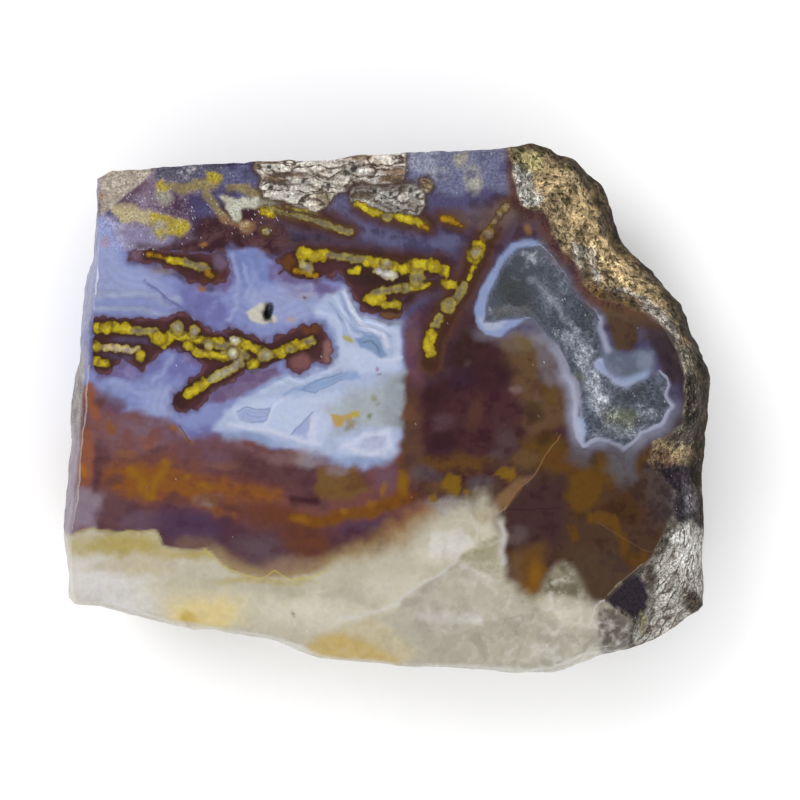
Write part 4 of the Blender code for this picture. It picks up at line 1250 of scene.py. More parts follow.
# The chalky matrix at the top edge: grey-white, porous, full of small holes and brown clay.
# It is rough, because the polish never reached it.
CHALK = mixed((68, 63.5, 55), (15, 10, 6), 46)
CHALK_GREY = mixed((56, 54, 50), (12, 9, 6.5), 46)
CHALK_BROWN = mixed((72, 67, 60), (30, 20, 14), 36)
CHALK_CLAY = mixed((8, 5, 3.4), (4.5, 2.6, 2))
CHALK_HOLE_SHADE = mixed((5.5, 5, 4.6), (10, 9, 8), 30)
CHALK_ZONES = (
    (CHALK, (254, 150, 300, 130, 404, 130, 406, 166, 402, 182, 388, 183, 362, 180, 354, 182, 348, 190,
        336, 193, 327, 205, 314, 212, 288, 201, 264, 196, 259, 186, 262, 178, 254, 168)),
    (CHALK_GREY, (350, 190, 362, 185, 380, 187, 400, 185, 416, 187, 424, 194, 425, 204, 418, 214,
        408, 215, 390, 213, 372, 205, 352, 200)),
    (mixed((36, 29, 17), (22, 15, 8)), (420, 180, 428, 178, 433, 186, 428, 193, 421, 190)),
)
CHALK_HOLES = (
    (270, 187, 3.0), (284, 184, 2.0), (303, 181, 2.2), (329, 185, 2.6), (302, 201, 2.6), (289, 196, 1.8),
    (361, 191, 3.0), (374, 190, 3.4), (391, 192, 3.0), (411, 190, 2.4), (418, 195, 2.8), (404, 203, 2.6),
    (348, 172, 4.5), (354, 168, 4.0), (268, 167, 2.8), (384, 198, 2.0), (398, 208, 2.4), (331, 172, 1.6),
)
chalk_depth = nowhere(40.0)
for colour, outline in CHALK_ZONES:
    inside = outline_depth(near_exact, outline) - 1.2 * np.maximum(depth_steps - 12.0, 0.0)
    inside -= 5.0 * np.maximum(depth_steps - 22.0 - 8.0 * fray, 0.0)
    lay(paint, CHALK_CLAY, 0.85 * eased(inside, -6.0, -1.0))
    lay(paint, colour, eased(inside, -1.2, 1.2))
    chalk_depth = np.maximum(chalk_depth, inside)
chalk_cover = eased(chalk_depth, -1.2, 1.2)
lay_spots((
    (CHALK_BROWN, 0.9, (374, 162), (34, 14)),
    (CHALK_BROWN, 0.8, (300, 168), (36, 9)),
    (mixed((62, 61, 59), (22, 19, 16), 30), 0.8, (368, 173), (14, 5)),
    (mixed((56, 54, 50), (16, 12, 9), 36), 0.7, (282, 188), (20, 8)),
    ((42, 34, 14), 0.8, (332, 172), (4, 3)),
    ((22, 15, 5), 0.7, (322, 200), (9, 8)),
    (mixed((26, 23, 19), (9, 7, 5.5), 45), 0.8, (414, 200), (12, 10)),
), chalk_cover)
lay_streaks((
    (CHALK_CLAY, 3, 1.6, (346, 172, 354, 181, 372, 185, 398, 184, 412, 182)),
    (CHALK_CLAY, 2.5, 1.2, (262, 180, 284, 184, 306, 184, 326, 192, 330, 204)),
    (CHALK_CLAY, 2.5, 1.0, (304, 164, 314, 174, 330, 180, 346, 178)),
    (CHALK_HOLE_SHADE, 2.5, 1.4, (380, 200, 394, 206, 410, 206)),
    (CHALK_CLAY, 2.5, 1.0, (362, 196, 392, 210, 408, 212)),
    (CHALK_CLAY, 2.5, 0.8, (268, 176, 290, 172, 312, 175, 330, 168, 346, 166)),
    (CHALK_CLAY, 2.5, 0.8, (286, 196, 300, 194, 312, 200, 322, 198)),
), near_exact)
# Each small hole is a dark spot ringed with grey: its dark is painted shade, as the mesh has no hollow
# there.
for across, down, radius in CHALK_HOLES:
    away = np.linalg.norm(near_exact - (across, down), axis=1)
    lay(paint, CHALK_GREY, 0.8 * chalk_cover * eased(away, radius + 3.0, radius + 1.0))
    lay(paint, CHALK_HOLE_SHADE, chalk_cover * eased(away, radius + 0.8, radius - 0.8))
halo = np.minimum(halo, -chalk_depth)

# The beige corner facet at the top left. It is an old break across the chalcedony, left rough
# by the saw and stained by the ground.
CORNER = (92, 216, 90, 170, 112, 164, 154, 164, 146, 176, 104, 214)
CORNER_BEIGE = mixed((44, 37.5, 32), (30, 24, 19), 42)
corner_depth = outline_depth(near_exact, CORNER)
lay(paint, CORNER_BEIGE, cover(corner_depth, 3))
lay_streaks((
    ((44, 39, 33), 3, 1.4, (150, 172, 130, 188, 110, 205)),
    ((42, 36, 30), 3, 1.0, (104, 188, 112, 176, 132, 169)),
    ((20, 15, 17), 4, 3.0, (94, 180, 97, 196, 98, 214)),
), near_exact)
lay_spots((
    ((40, 22, 6), 0.9, (99, 197), (3.5, 5)),
    ((16, 7, 3), 0.7, (97, 206), (3, 5)),
))
halo = np.minimum(halo, -corner_depth)
inlay = np.minimum(inlay, 0.6 - corner_depth)

# The quartz pocket: dark clear quartz in a hollow of the chalcedony, smooth at the left and
# full of fine crystal faces elsewhere, with a pale blue rim.
POCKET = (
    484, 323, 485, 309, 488, 295, 503, 266, 513, 252, 523, 247, 542, 247, 557, 264, 564, 274, 568, 284,
    576, 294, 597, 314, 599, 319, 595, 325, 599, 336, 601, 347, 600, 355, 593, 362, 596, 370, 611, 379,
    614, 384, 623, 387, 632, 385, 661, 371, 666, 378, 668, 385, 664, 395, 667, 401, 672, 406, 667, 410,
    661, 424, 641, 431, 636, 437, 623, 447, 618, 443, 609, 439, 598, 437, 589, 439, 584, 444, 586, 432,
    585, 424, 582, 416, 583, 401, 580, 383, 570, 370, 566, 356, 559, 345, 549, 336, 534, 317, 517, 318,
    492, 322,
)
POCKET_RIM_LEFT = (
    475, 322, 474, 307, 479, 291, 499, 259, 513, 243, 532, 240, 546, 245, 524, 250, 507, 266, 497, 282,
    488, 309, 486, 322, 518, 317, 526, 318, 500, 336, 486, 335, 479, 328,
)
RIM_BLUE = mixed((25.5, 31.5, 52), (21.5, 27, 46), 35)
RIM_PALE = mixed((23, 24.5, 33), (18.5, 19.5, 27))
RIM_GLOW = mixed((12, 10.8, 14.5), (8.8, 7.6, 10.5))
RIM_BAND = mixed((29, 29.5, 38), (22.5, 22, 28.5))
RIM_CREST = mixed((42, 43.5, 56), (36, 38, 51))
RIM_SHADOW = mixed((11, 12, 16.5), (8.5, 9.2, 12.5))
POCKET_DARK = mixed((5.8, 6.2, 6.8), (12, 13.2, 16.5), 22)
POCKET_GREY = mixed((7.6, 8.6, 11.3), (26, 27.5, 32), 30)
POCKET_MID = mixed((10.5, 11.7, 14.5), (40, 42, 46), 33)
POCKET_PALE = mixed((22, 24, 29), (50, 52, 58), 50)
POCKET_GREEN = mixed((15, 16, 11), (33, 34.5, 27), 35)
PENINSULA = mixed((12, 13.8, 19), (15, 17.2, 24))
pocket_depth = outline_depth(near_exact, POCKET)
upper_right = eased(exact[:, 0] - 0.9 * exact[:, 1], 270, 300) * downward(400, 370)
lower = downward(352, 392) * (1.0 - upper_right)
lower_left = downward(322, 350) * rightward(600, 586) * downward(446, 430)
glow_reach = 11.0 + 7.0 * lower
glow_share = 0.85 - 0.75 * rightward(622, 644) * downward(430, 390)
lay(paint, RIM_GLOW, glow_share * eased(pocket_depth, -glow_reach, -0.4 * glow_reach))
lay(paint, RIM_PALE, glow_share * (0.3 + 0.5 * lower) * eased(pocket_depth, -9.0 - 7.0 * lower, -3.0))
lay(paint, RIM_BAND, 0.9 * lower_left * eased(pocket_depth, -22.0, -9.0))
lay_zones((
    (mixed((4.5, 3, 3.8), (3, 2, 2.6)), 10, (644, 328, 664, 338, 676, 360, 678, 392, 668, 384, 652, 346)),
    (RIM_BLUE, 3, POCKET_RIM_LEFT),
    ((40, 43, 57), 5, (478, 318, 490, 322, 508, 320, 500, 328, 486, 330)),
    (mixed((15.5, 12.8, 14), (12, 9, 9.5)), 8, (536, 342, 546, 344, 558, 364, 558, 380, 550, 388,
        540, 376)),
    (mixed((8.5, 5, 3), (5.5, 3, 2.2)), 7, (608, 318, 620, 316, 634, 326, 640, 340, 632, 350, 616, 350,
        610, 334)),
    (PENINSULA, 8, (592, 361, 597, 346, 606, 346, 618, 354, 630, 356, 642, 348, 654, 351, 658, 362,
        656, 373, 633, 386, 622, 388, 613, 385, 596, 370)),
    ((19, 22, 31), 7, (640, 352, 652, 353, 656, 364, 648, 372, 638, 366)),
    ((42, 47, 65), 3, (591, 362, 596, 354, 603, 360, 603, 372, 597, 370)),
    ((33, 40, 60), 3, (578, 416, 584, 421, 586, 432, 583, 442, 578, 436, 576, 426)),
), near_exact)
lay_streaks((
    (mixed((29, 35, 52), (22, 26, 38)), 6, 3.6, (599, 364, 606, 374, 616, 380, 625, 382, 646, 374)),
    ((33, 34.5, 46), 5, 2.6, (600, 318, 600, 328, 608, 350)),
), near_exact)
lay_spots((
    (mixed((11.2, 11, 13), (8, 6.6, 7.4)), 0.8, (622, 458), (15, 24)),
    (mixed((10, 9.2, 11), (7.5, 5.5, 5.8)), 0.7, (580, 456), (13, 12)),
))
crest_at = 1.5 + 5.5 * lower_left
crest = (0.62 + 0.25 * lower_left) * lower * eased(exact[:, 0] * (1.0 - lower_left), 700, 690)
lay(paint, RIM_CREST, crest * eased(np.abs(pocket_depth + crest_at), 3.0 + 1.5 * lower_left, 0.8))
pocket_cover = cover(pocket_depth, 2.5)
lay(paint, POCKET_GREY, pocket_cover)
lay_spots((
    (POCKET_DARK, 0.95, (514, 292), (20, 30)),
    (mixed((14, 13.5, 13), (9, 9.2, 10), 50), 0.8, (514, 312), (20, 5)),
    (POCKET_MID, 0.7, (550, 292), (14, 18)),
    (POCKET_MID, 0.8, (544, 258), (12, 8)),
    (POCKET_PALE, 0.5, (568, 340), (8, 9)),
    (POCKET_DARK, 0.6, (586, 322), (9, 16)),
    (POCKET_PALE, 0.85, (583, 358), (9, 17)),
    (POCKET_PALE, 1.0, (594, 378), (9, 18)),
    (POCKET_PALE, 0.9, (602, 402), (10, 16)),
    (POCKET_MID, 0.8, (624, 410), (22, 12)),
    (POCKET_DARK, 0.6, (630, 394), (22, 6)),
    (POCKET_PALE, 0.6, (648, 415), (12, 7)),
    (POCKET_PALE, 0.5, (618, 433), (22, 5)),
    (POCKET_GREEN, 0.7, (579, 376), (6, 5)),
    (POCKET_GREEN, 0.8, (622, 419), (16, 11)),
), pocket_cover)
pale_line = path_distance(place, (532, 280, 548, 296, 578, 330))
lay(paint, mixed((21, 22, 27), (36, 38, 43), 35), 0.8 * pocket_cover * eased(pale_line, 6, 1))
lay(paint, RIM_SHADOW, 0.8 * eased(np.abs(pocket_depth - 1.5), 3.0, 0.8) * (1.0 - 0.5 * lower))

# The rind down the right side, a weathered crust of gold and brown grains over the nodule,
# with grey-white porous streaks.
RIND = mixed((33, 25.5, 15), (7, 4.8, 2.6))
RIND_GOLD = mixed((44, 33.5, 18.5), (13, 8.5, 4))
RIND_PALE = mixed((56, 54, 49), (10, 9, 8))
RIND_TINT = mixed((40, 35, 17), (10.5, 8.5, 4))
RIND_IN_SHADE = mixed((22, 19, 14), (3.5, 2.6, 1.8), 60)
RIND_ORANGE = mixed((40, 27.5, 17), (10, 5.2, 3), 46)
RIND_RUST = mixed((12.5, 5.8, 3.6), (6, 2.8, 2.6), 50)
ROCK_PALE = mixed((50, 48.5, 44), (20, 18.5, 15.5), 42)
ROCK_DARK = mixed((15, 13.5, 11.2), (5, 4.2, 3.6), 45)
RIND_EDGE = (
    505, 100, 506, 149, 518, 186, 520, 204, 535, 210, 549, 212, 553, 238, 563, 252, 578, 262, 585, 283,
    597, 296, 629, 307, 655, 318, 676, 338, 684, 368, 686, 400, 684, 426, 672, 436, 652, 440, 648, 462,
    676, 490, 676, 510, 648, 562, 618, 584, 604, 600, 618, 609, 634, 622, 630, 636, 634, 700, 800, 700,
    800, 100,
)
crust_clouds = 0.4 * place + 0.6 * near_exact
rind_depth = outline_depth(crust_clouds, RIND_EDGE) + 32.0 * eased(depth, 5.0, 19.0)
rind = cover(rind_depth, 3)
rust = 0.9 * eased(rind_depth, -20.0, -4.0) * downward(345, 300) * rightward(500, 512)
lay(paint, RIND_RUST, rust)
lay_spots(((mixed((15.5, 11, 10)), 0.5, (488, 217), (34, 11)),))
lay(paint, RIND, rind)
ROCK_FACE = (
    655, 556, 666, 551, 674, 542, 678, 531, 682, 525, 692, 521, 702, 526, 730, 530, 730, 582, 702, 585,
    690, 590, 683, 602, 678, 616, 670, 628, 664, 646, 640, 650, 633, 634, 649, 612, 651, 598, 648, 586,
    641, 576, 646, 564,
)
lay_zones((
    (mixed((17, 15.5, 12.8), (6, 5.2, 4.5), 45), 6, (636, 524, 676, 500, 760, 500, 760, 700, 560, 700,
        586, 600, 630, 562)),
    (RIND_GOLD, 12, (560, 180, 600, 190, 604, 230, 670, 310, 640, 300, 600, 276, 574, 240)),
    (RIND_PALE, 5, (512, 166, 526, 164, 534, 184, 544, 196, 540, 206, 522, 206)),
    (RIND_PALE, 4, (572, 242, 588, 250, 601, 272, 604, 288, 590, 285, 577, 266)),
    (RIND_PALE, 4, (606, 288, 626, 289, 646, 297, 660, 306, 676, 324, 684, 337, 678, 341, 648, 313,
        628, 303, 606, 297)),
    # Painted shade: a near-black patch where the rind turns steeply down at its upper right edge.
    ((7, 5.6, 3.4), 5, (662, 292, 700, 296, 706, 342, 692, 342, 678, 320)),
    (mixed((40, 36.5, 29), (4, 3.2, 2.6), 62), 5, (670, 334, 692, 344, 704, 380, 704, 448, 672, 440,
        678, 400, 676, 360)),
    (RIND_TINT, 7, (512, 146, 546, 148, 546, 172, 524, 170)),
    (mixed((60, 45, 24), (22, 15, 7), 35), 9, (582, 236, 612, 236, 634, 262, 644, 286, 618, 284,
        598, 266)),
    (RIND_ORANGE, 6, (642, 447, 664, 450, 680, 458, 678, 476, 652, 472)),
    # Painted shade: the rind darkened along its steep right edge, over its own brown.
    (RIND_IN_SHADE, 9, (690, 344, 760, 340, 760, 470, 690, 470, 700, 410)),
    (mixed((12, 9.5, 10.5), (3, 2.2, 3), 60), 8, (654, 466, 760, 460, 760, 524, 680, 524, 668, 500)),
    (mixed((24, 23, 25), (6, 5.2, 6), 50), 6, (684, 486, 760, 480, 760, 530, 690, 528)),
    (ROCK_PALE, 4, ROCK_FACE),
    (mixed((70, 69, 66), (42, 41, 37)), 8, (670, 536, 690, 526, 700, 548, 694, 572, 674, 560)),
    (ROCK_DARK, 6, (642, 570, 653, 562, 658, 580, 654, 604, 650, 590)),
    (mixed((42, 41, 15), (22, 20, 10), 50), 3, (643, 612, 648, 614, 647, 636, 642, 632)),
    # Painted shade: the dark side of the broken corner at the lower right, turned from the light.
    (mixed((7, 6, 5), (21, 19, 16.5)), 6, (685, 590, 704, 584, 706, 606, 672, 640, 680, 612)),
), crust_clouds, within=rind, fraying=0.0)
rock = rind * cover(outline_depth(near_exact, ROCK_FACE), 6)
lay_spots((
    # Painted shade: near black where the rind falls steeply at the upper right.
    ((10, 8, 6), 0.85, (610, 214), (9, 20)),
    (mixed((66, 50, 27), (20, 14, 7)), 0.8, (548, 182), (15, 13)),
    (mixed((66, 64, 55), (20, 17, 13)), 0.6, (660, 317), (10, 7)),
    (mixed((48, 44, 33), (10, 8, 6)), 0.7, (686, 358), (9, 14)),
    ((8.5, 6, 5), 0.75, (668, 437), (14, 7)),
    ((7.5, 5.5, 4.2), 0.75, (604, 301), (9, 7)),
    (mixed((78, 70, 56), (30, 25, 18), 35), 0.8, (588, 262), (9, 14)),
), rind)
DARK_FACET = (
    604, 601, 614, 590, 628, 578, 637, 573, 648, 588, 651, 598, 648, 609, 642, 616, 636, 619, 628, 614,
    622, 608, 612, 607,
)
dark_facet = cover(outline_depth(near_exact, DARK_FACET), 2.5)
lay(paint, mixed((3.4, 2.6, 3.4), (2.6, 2, 2.7)), dark_facet)
dark_edge = cover(12.0 - rind_depth, 8) * rightward(572, 588) * downward(350, 336)
lay(paint, mixed((17, 10.5, 3.5), (5, 2.8, 1.4), 50), 0.85 * rind * dark_edge)
PALE_STREAK = (644, 302, 660, 310, 673, 322, 684, 337, 679, 341, 666, 328, 655, 318, 644, 310)
streak_depth = outline_depth(0.3 * place + 0.7 * near_exact, PALE_STREAK)
lay(paint, RIND_PALE, 0.65 * rind * cover(streak_depth, 3))
# Painted shade: the rind's outer edge, and its wall further down, are painted near black where the crust
# turns away from the light. The rock face keeps most of its own colour.
edge_away = path_distance(points[:, 0:2], [station[0:2] for station in RIND_SIDE]) / STEP
at_edge = eased(edge_away + 5.0 * fray, 12.0, 3.0) * eased(depth, 1.0, 3.0)
painted_edge_shade = rind * np.maximum(eased(depth, 5.0, 8.5), at_edge)
lay(paint, mixed((8.5, 6.2, 3.8), (2.8, 2, 1.4), 55), 0.85 * painted_edge_shade * (1.0 - 0.85 * rock))
halo = np.minimum(halo, -rind_depth)

# The broken sides. Chalcedony shows in them as on the face, dulled by an old brown skin that
# lies in patches, and the left edge keeps a strip of grey rind.
SKIN = mixed((20, 16.5, 13.5), (11, 8.5, 7), 45)
SKIN_DARK = mixed((10, 7.8, 6.6), (6, 4.5, 4), 45)
LEFT_STONE = mixed((33, 27.5, 34), (27, 22, 28.5))
LEFT_BLUE = mixed((30, 32, 48), (23, 23.5, 37))
LEFT_RIND = mixed((34, 32, 28.5), (15, 13.5, 13), 45)
side = eased(depth, 0.8, 3.0) * (1.0 - rind)
patches = eased(clouds(points, 9.0, 38), -0.1, 0.5)
lay(paint, SKIN, 0.55 * side * patches)
lay(paint, SKIN_DARK, 0.5 * side * eased(clouds(points, 6.0, 40), 0.2, 0.7))
left_edge = (1.0 - quartz) * eased(depth, 0.3, 1.4) * rightward(104, 88)
lay(paint, LEFT_STONE, 0.85 * left_edge * eased(depth, 14.0, 6.0))
lay(paint, LEFT_BLUE, 0.85 * left_edge * eased(depth, 14.0, 6.0) * downward(380, 330))
left_patch = np.hypot(exact[:, 1] - 404.0, 0.8 * depth_steps - 20.0) + 18.0 * clouds(points, 5.0, 42)
left_rind = left_edge * eased(left_patch, 62.0, 14.0)
lay(paint, LEFT_RIND, 0.85 * left_rind)
# The quartz shows paler on the sides: partly its own white, partly painted light standing in for light
# shining through the quartz at its edges.
quartz_side_white_and_glow = quartz * eased(depth, 0.3, 1.6) * (1.0 - rind) * rightward(608, 590)
lay(paint, mixed((62, 60, 54), (48, 45, 38)), 0.6 * quartz_side_white_and_glow)
inlay = np.minimum(inlay, -rind_depth)

# Fine lines in the face: healed cracks, the yellow seam over the quartz, and the bright last
# band round the pocket. Each line has a colour, a half width, a strength and a path.
SEAM_YELLOW = (52, 43, 6)
CREST_GREY = (33, 35, 45)
CREST_BLUE = (40, 42, 55)
LINES = (
    ((20, 27, 44), 0.8, 0.8, (300, 390, 318, 381, 330, 378, 342, 373)),
    ((22, 29, 47), 0.8, 0.8, (304, 391, 316, 393, 342, 380)),
    ((25, 31, 49), 0.8, 0.8, (237, 413, 246, 407, 257, 410, 271, 409, 266, 421, 252, 422)),
    ((25, 31, 50), 0.7, 0.7, (246, 414, 256, 417, 264, 416)),
    ((22, 28, 46), 0.8, 0.7, (313, 412, 303, 423, 290, 435)),
    ((13, 18, 28), 1.0, 0.8, (364, 342, 371, 341, 377, 347, 379, 353)),
    ((11, 12, 27), 1.1, 0.6, (150, 284, 190, 315, 222, 333)),
    ((8, 6, 12), 1.0, 0.5, (206, 326, 222, 334, 234, 340)),
    (SEAM_YELLOW, 1.2, 0.25, (74, 534, 84, 530, 94, 528, 117, 533, 154, 530, 161, 539)),
    (SEAM_YELLOW, 0.9, 0.45, (204, 549, 222, 565, 241, 574, 258, 579, 266, 577, 274, 570, 292, 580,
        310, 577, 326, 570)),
    (CREST_GREY, 1.1, 1.0, (522, 246, 542, 246, 565, 273, 568, 283, 576, 293, 598, 313, 600, 319)),
    (CREST_BLUE, 1.4, 0.75, (600, 319, 597, 326, 601, 334, 606, 350, 603, 357, 594, 361)),
    (CREST_GREY, 1.1, 0.8, (661, 371, 667, 378, 669, 385, 665, 395, 668, 401, 673, 406, 668, 410,
        662, 424, 641, 432, 636, 438, 623, 448, 618, 443, 609, 439, 598, 437, 589, 440, 583, 446)),
    (CREST_BLUE, 1.8, 0.6, (583, 446, 578, 438, 575, 424, 575, 404, 571, 386, 562, 370, 560, 356,
        554, 346, 533, 318, 526, 317)),
    ((12, 14, 22), 0.9, 0.8, (567, 366, 574, 378, 579, 392, 580, 406, 579, 416)),
    # Painted shade: a dark line just inside the upper right rim, where the pocket's floor steps down.
    ((3.5, 4, 5), 0.9, 0.8, (544, 253, 557, 269, 566, 284, 594, 314)),
    ((27, 13, 5), 0.8, 0.6, (560, 436, 545, 456, 538, 470, 532, 478, 518, 490, 507, 507)),
    ((40, 30, 22), 0.7, 0.45, (507, 507, 496, 514)),
    ((16, 9, 5), 0.7, 0.4, (596, 522, 642, 549, 657, 553)),
    ((3, 1.6, 1.6), 0.7, 0.5, (504, 509, 530, 510, 560, 508)),
    ((30, 28, 26), 0.8, 0.5, (656, 554, 630, 574, 604, 600, 590, 606)),
    ((2.5, 2, 1.8), 2.0, 0.95, (665, 574, 655, 618)),
    ((72, 72, 78), 1.2, 0.8, (97, 258, 97, 276, 92, 308)),
    ((60, 55, 56), 0.9, 0.45, (88, 366, 86, 412, 82, 434, 78, 500, 72, 528)),
    ((7, 5, 7.5), 0.8, 0.7, (132, 194, 148, 198)),
    ((6, 3, 4), 0.7, 0.4, (242, 466, 250, 456, 256, 452)),
    ((8, 3, 2), 0.8, 0.5, (180, 426, 186, 434, 190, 441)),
    ((62, 60, 54), 0.7, 0.6, (592, 618, 596, 606, 606, 600)),
    ((20, 18, 15), 0.8, 0.6, (600, 640, 612, 630, 626, 618)),
    ((3, 3, 3.5), 1.1, 0.8, (346, 190, 348, 198, 356, 202)),
)
FADE_START = 3.6
FADE_END = 5.0
NO_LINE = 4.0
line = np.full(len(points), NO_LINE)
line_nearest = np.full(len(points), np.inf)
line_paint = np.zeros((len(points), 4))
for colour, half_width, full, path in LINES:
    corners = np.reshape(path, (-1, 2)).astype(float)
    for start, end in zip(corners[:-1], corners[1:]):
        run = end - start
        length = np.linalg.norm(run)
        along = (near_exact - start) @ run / length
        past = np.maximum(np.maximum(-along, along - length), 0.0)
        side_offset = ((near_exact - start) @ (run[1], -run[0])) / length
        away = np.hypot(side_offset, past) + 1.5 * depth_steps
        chosen = away < line_nearest
        line_nearest[chosen] = away[chosen]
        line[chosen] = (np.sign(side_offset) * away)[chosen] / half_width
        strength = full * eased(away, FADE_END, FADE_START) * eased(past, 2.0, 0.5)
        line_paint[chosen, 0:3] = colour
        line_paint[chosen, 3] = 100.0 * strength[chosen]

# How the surface is at each place, from 0 to 1. Saw and polish left it rough or smooth, and
# the stone itself is streaky, grainy, porous, milky, banded or full of glinting crystal.
strip = np.clip(np.sqrt(strip_share(points[:, 0:2])) * 1.6, 0.0, 1.0) * eased(depth, 8.0, 4.0)
pocket_inside = cover(pocket_depth, 4) * eased(depth, 3.0, 1.0)
rough_corner = spots_mask(((1.0, (160, 215), (70, 40)), (1.0, (250, 220), (50, 26))))
pocket_crystals = pocket_cover * rightward(520, 560)
broken = 0.32 * eased(depth, 0.9, 2.2) * (1.0 - pocket_inside) * (1.0 - 0.55 * quartz)
rough = np.maximum.reduce((
    0.55 * strip, 0.6 * rough_corner, rind, broken,
    0.55 * chalk_cover, 0.3 * pocket_inside,
))
streaky = np.maximum.reduce((
    0.9 * chalk_cover, 0.7 * pocket_crystals, rock,
    0.45 * (1.0 - quartz) * (1.0 - rind) * cover(outline_depth(place, IRON_BANDS), 10),
))
grainy = np.maximum.reduce((
    rind * (1.0 - 0.75 * rock), 0.12 * chalk_cover, 0.2 * strip * (1.0 - chalk_cover), 0.6 * rough_corner,
    0.2 * pocket_crystals, 0.4 * cover(corner_depth, 3), 0.7 * left_rind, 0.5 * rust,
))
grainy = grainy * (1.0 - 0.8 * chalk_cover)
glint = np.maximum.reduce((
    0.5 * strip * (1.0 - chalk_cover), 0.9 * rough_corner, spots_mask(((1.0, (206, 210), (30, 24)),)),
)) * (1.0 - cover(corner_depth, 3)) * (1.0 - 0.8 * chalk_cover) * eased(depth, 5.0, 2.5)
rind_glint = rind * spots_mask(((0.6, (670, 490), (24, 34)),))
glint = np.maximum.reduce((glint, 0.5 * pocket_crystals, rind_glint, 0.12 * np.ones(len(points))))
grain = np.maximum.reduce((
    rind, 0.3 * chalk_cover, 0.25 * cover(corner_depth, 3), 0.3 * left_rind, 0.4 * pocket_crystals,
))
grain = grain * (1.0 - 0.75 * rock) * (1.0 - dark_facet)
porous = np.maximum(chalk_cover, 0.9 * rock * (1.0 - dark_facet))
milky = quartz * (1.0 - rind) * np.maximum(0.3 + 0.7 * rightward(400, 530), side)
banded = (1.0 - rind) * (1.0 - quartz) * spots_mask((
    (0.7, (360, 318), (28, 22)), (0.22, (120, 290), (60, 26)), (0.25, (240, 292), (26, 36)),
    (0.22, (150, 388), (36, 26)), (0.4, (292, 376), (44, 10)), (0.2, (300, 304), (40, 22)),
))
flow_bend = np.interp(exact[:, 0], (60, 180, 300, 400, 460), (0.0, 10.0, 22.0, 4.0, -16.0))
flow_down = exact[:, 1] - flow_bend * downward(400, 460)


def slanted(degrees, squeeze):
    """Places for streaks that run down the face at an angle: squeezed along it, whole across."""
    turn = math.radians(degrees)
    along = exact[:, 0] * math.cos(turn) + exact[:, 1] * math.sin(turn)
    across = exact[:, 1] * math.cos(turn) - exact[:, 0] * math.sin(turn)
    return np.column_stack((squeeze * along, across, depth_steps))


flow = np.column_stack((0.22 * exact[:, 0], flow_down, depth_steps))
flow = np.where(pocket_crystals[:, None] > 0.1, slanted(58.0, 0.35), flow)
flow = np.where(rock[:, None] > 0.1, slanted(117.0, 0.28), flow) * STEP * MM

# The stone itself: one cut lump of chalcedony and quartz, polished on its face. The studio
# light brightens every colour a little and adds its sheen, so both come off the paints first.
# Edges sharper than the crease angle stay crisp.
STONE_SHARE = 0.75
SHEEN = 0.007
DARKEST = 0.002
CREASE_ANGLE = 50.0


def stone_mesh():
    """The mesh of the stone, in metres, with its paints and masks as point attributes."""
    at = points.copy()
    at[:, 0:2] -= MIDDLE
    mesh = bpy.data.meshes.new("agate_stone")
    corners = np.concatenate([part.ravel() for part in stone_faces])
    sizes = np.concatenate([np.full(len(part), part.shape[1]) for part in stone_faces])
    mesh.vertices.add(len(at))
    mesh.vertices.foreach_set("co", (at * MM).astype(np.float32).ravel())
    mesh.loops.add(len(corners))
    mesh.loops.foreach_set("vertex_index", corners.astype(np.int32))
    mesh.polygons.add(len(sizes))
    starts = np.concatenate(([0], np.cumsum(sizes)[:-1]))
    mesh.polygons.foreach_set("loop_start", starts.astype(np.int32))
    mesh.update(calc_edges=True)
    mesh.validate()
    paints = {
        "paint": paint[:, [0, 1, 2, 6]], "second_paint": paint[:, 3:6], "halo_paint": halo_paint,
        "inlay_paint": inlay_paint, "line_paint": line_paint,
    }
    for name, colours in paints.items():
        rgba = np.ones((len(at), 4), np.float32)
        rgba[:, :colours.shape[1]] = 0.01 * colours
        rgba[:, 0:3] = rgba[:, 0:3] * STONE_SHARE - SHEEN
        layer = mesh.attributes.new(name, "FLOAT_COLOR", "POINT")
        layer.data.foreach_set("color", np.clip(rgba, DARKEST, 1.0).ravel())
    masks = {
        "inlay": inlay * STEP, "halo": halo * STEP, "line": line, "band_place": band_place * STEP,
        "banded": banded, "streaky": streaky, "grainy": grainy, "rough": rough, "glint": glint,
        "grain": grain, "milky": milky, "porous": porous,
    }
    for name, values in masks.items():
        layer = mesh.attributes.new(name, "FLOAT", "POINT")
        layer.data.foreach_set("value", values.astype(np.float32))
    layer = mesh.attributes.new("flow", "FLOAT_VECTOR", "POINT")
    layer.data.foreach_set("vector", flow.astype(np.float32).ravel())
    mesh.shade_smooth()
    mesh.set_sharp_from_angle(angle=math.radians(CREASE_ANGLE))
    return mesh


# What the surface shows below the size of its drawn marks: the dark rim of a halo, two tints
# of the needles' lumps, milky veins in the quartz, brown hollows, and painted glints of crystal
HALO_RIM = (0.090, 0.070, 0.150, 1.0)
LUMP_TINTS = ((0.74, 0.70, 1.00, 1.0), (1.12, 1.14, 0.95, 1.0))
VEIN_WHITE = (0.60, 0.58, 0.54, 1.0)
HOLLOW_BROWN = (0.055, 0.038, 0.028, 1.0)
GLINT_WHITE = (0.60, 0.58, 0.68, 1.0)
WIDE_BAND = 1.05
NARROW_BAND = 0.41
POLISHED = 0.26
BROKEN = 0.75
SHINE = 0.12
BUMP_HEIGHT = 0.30


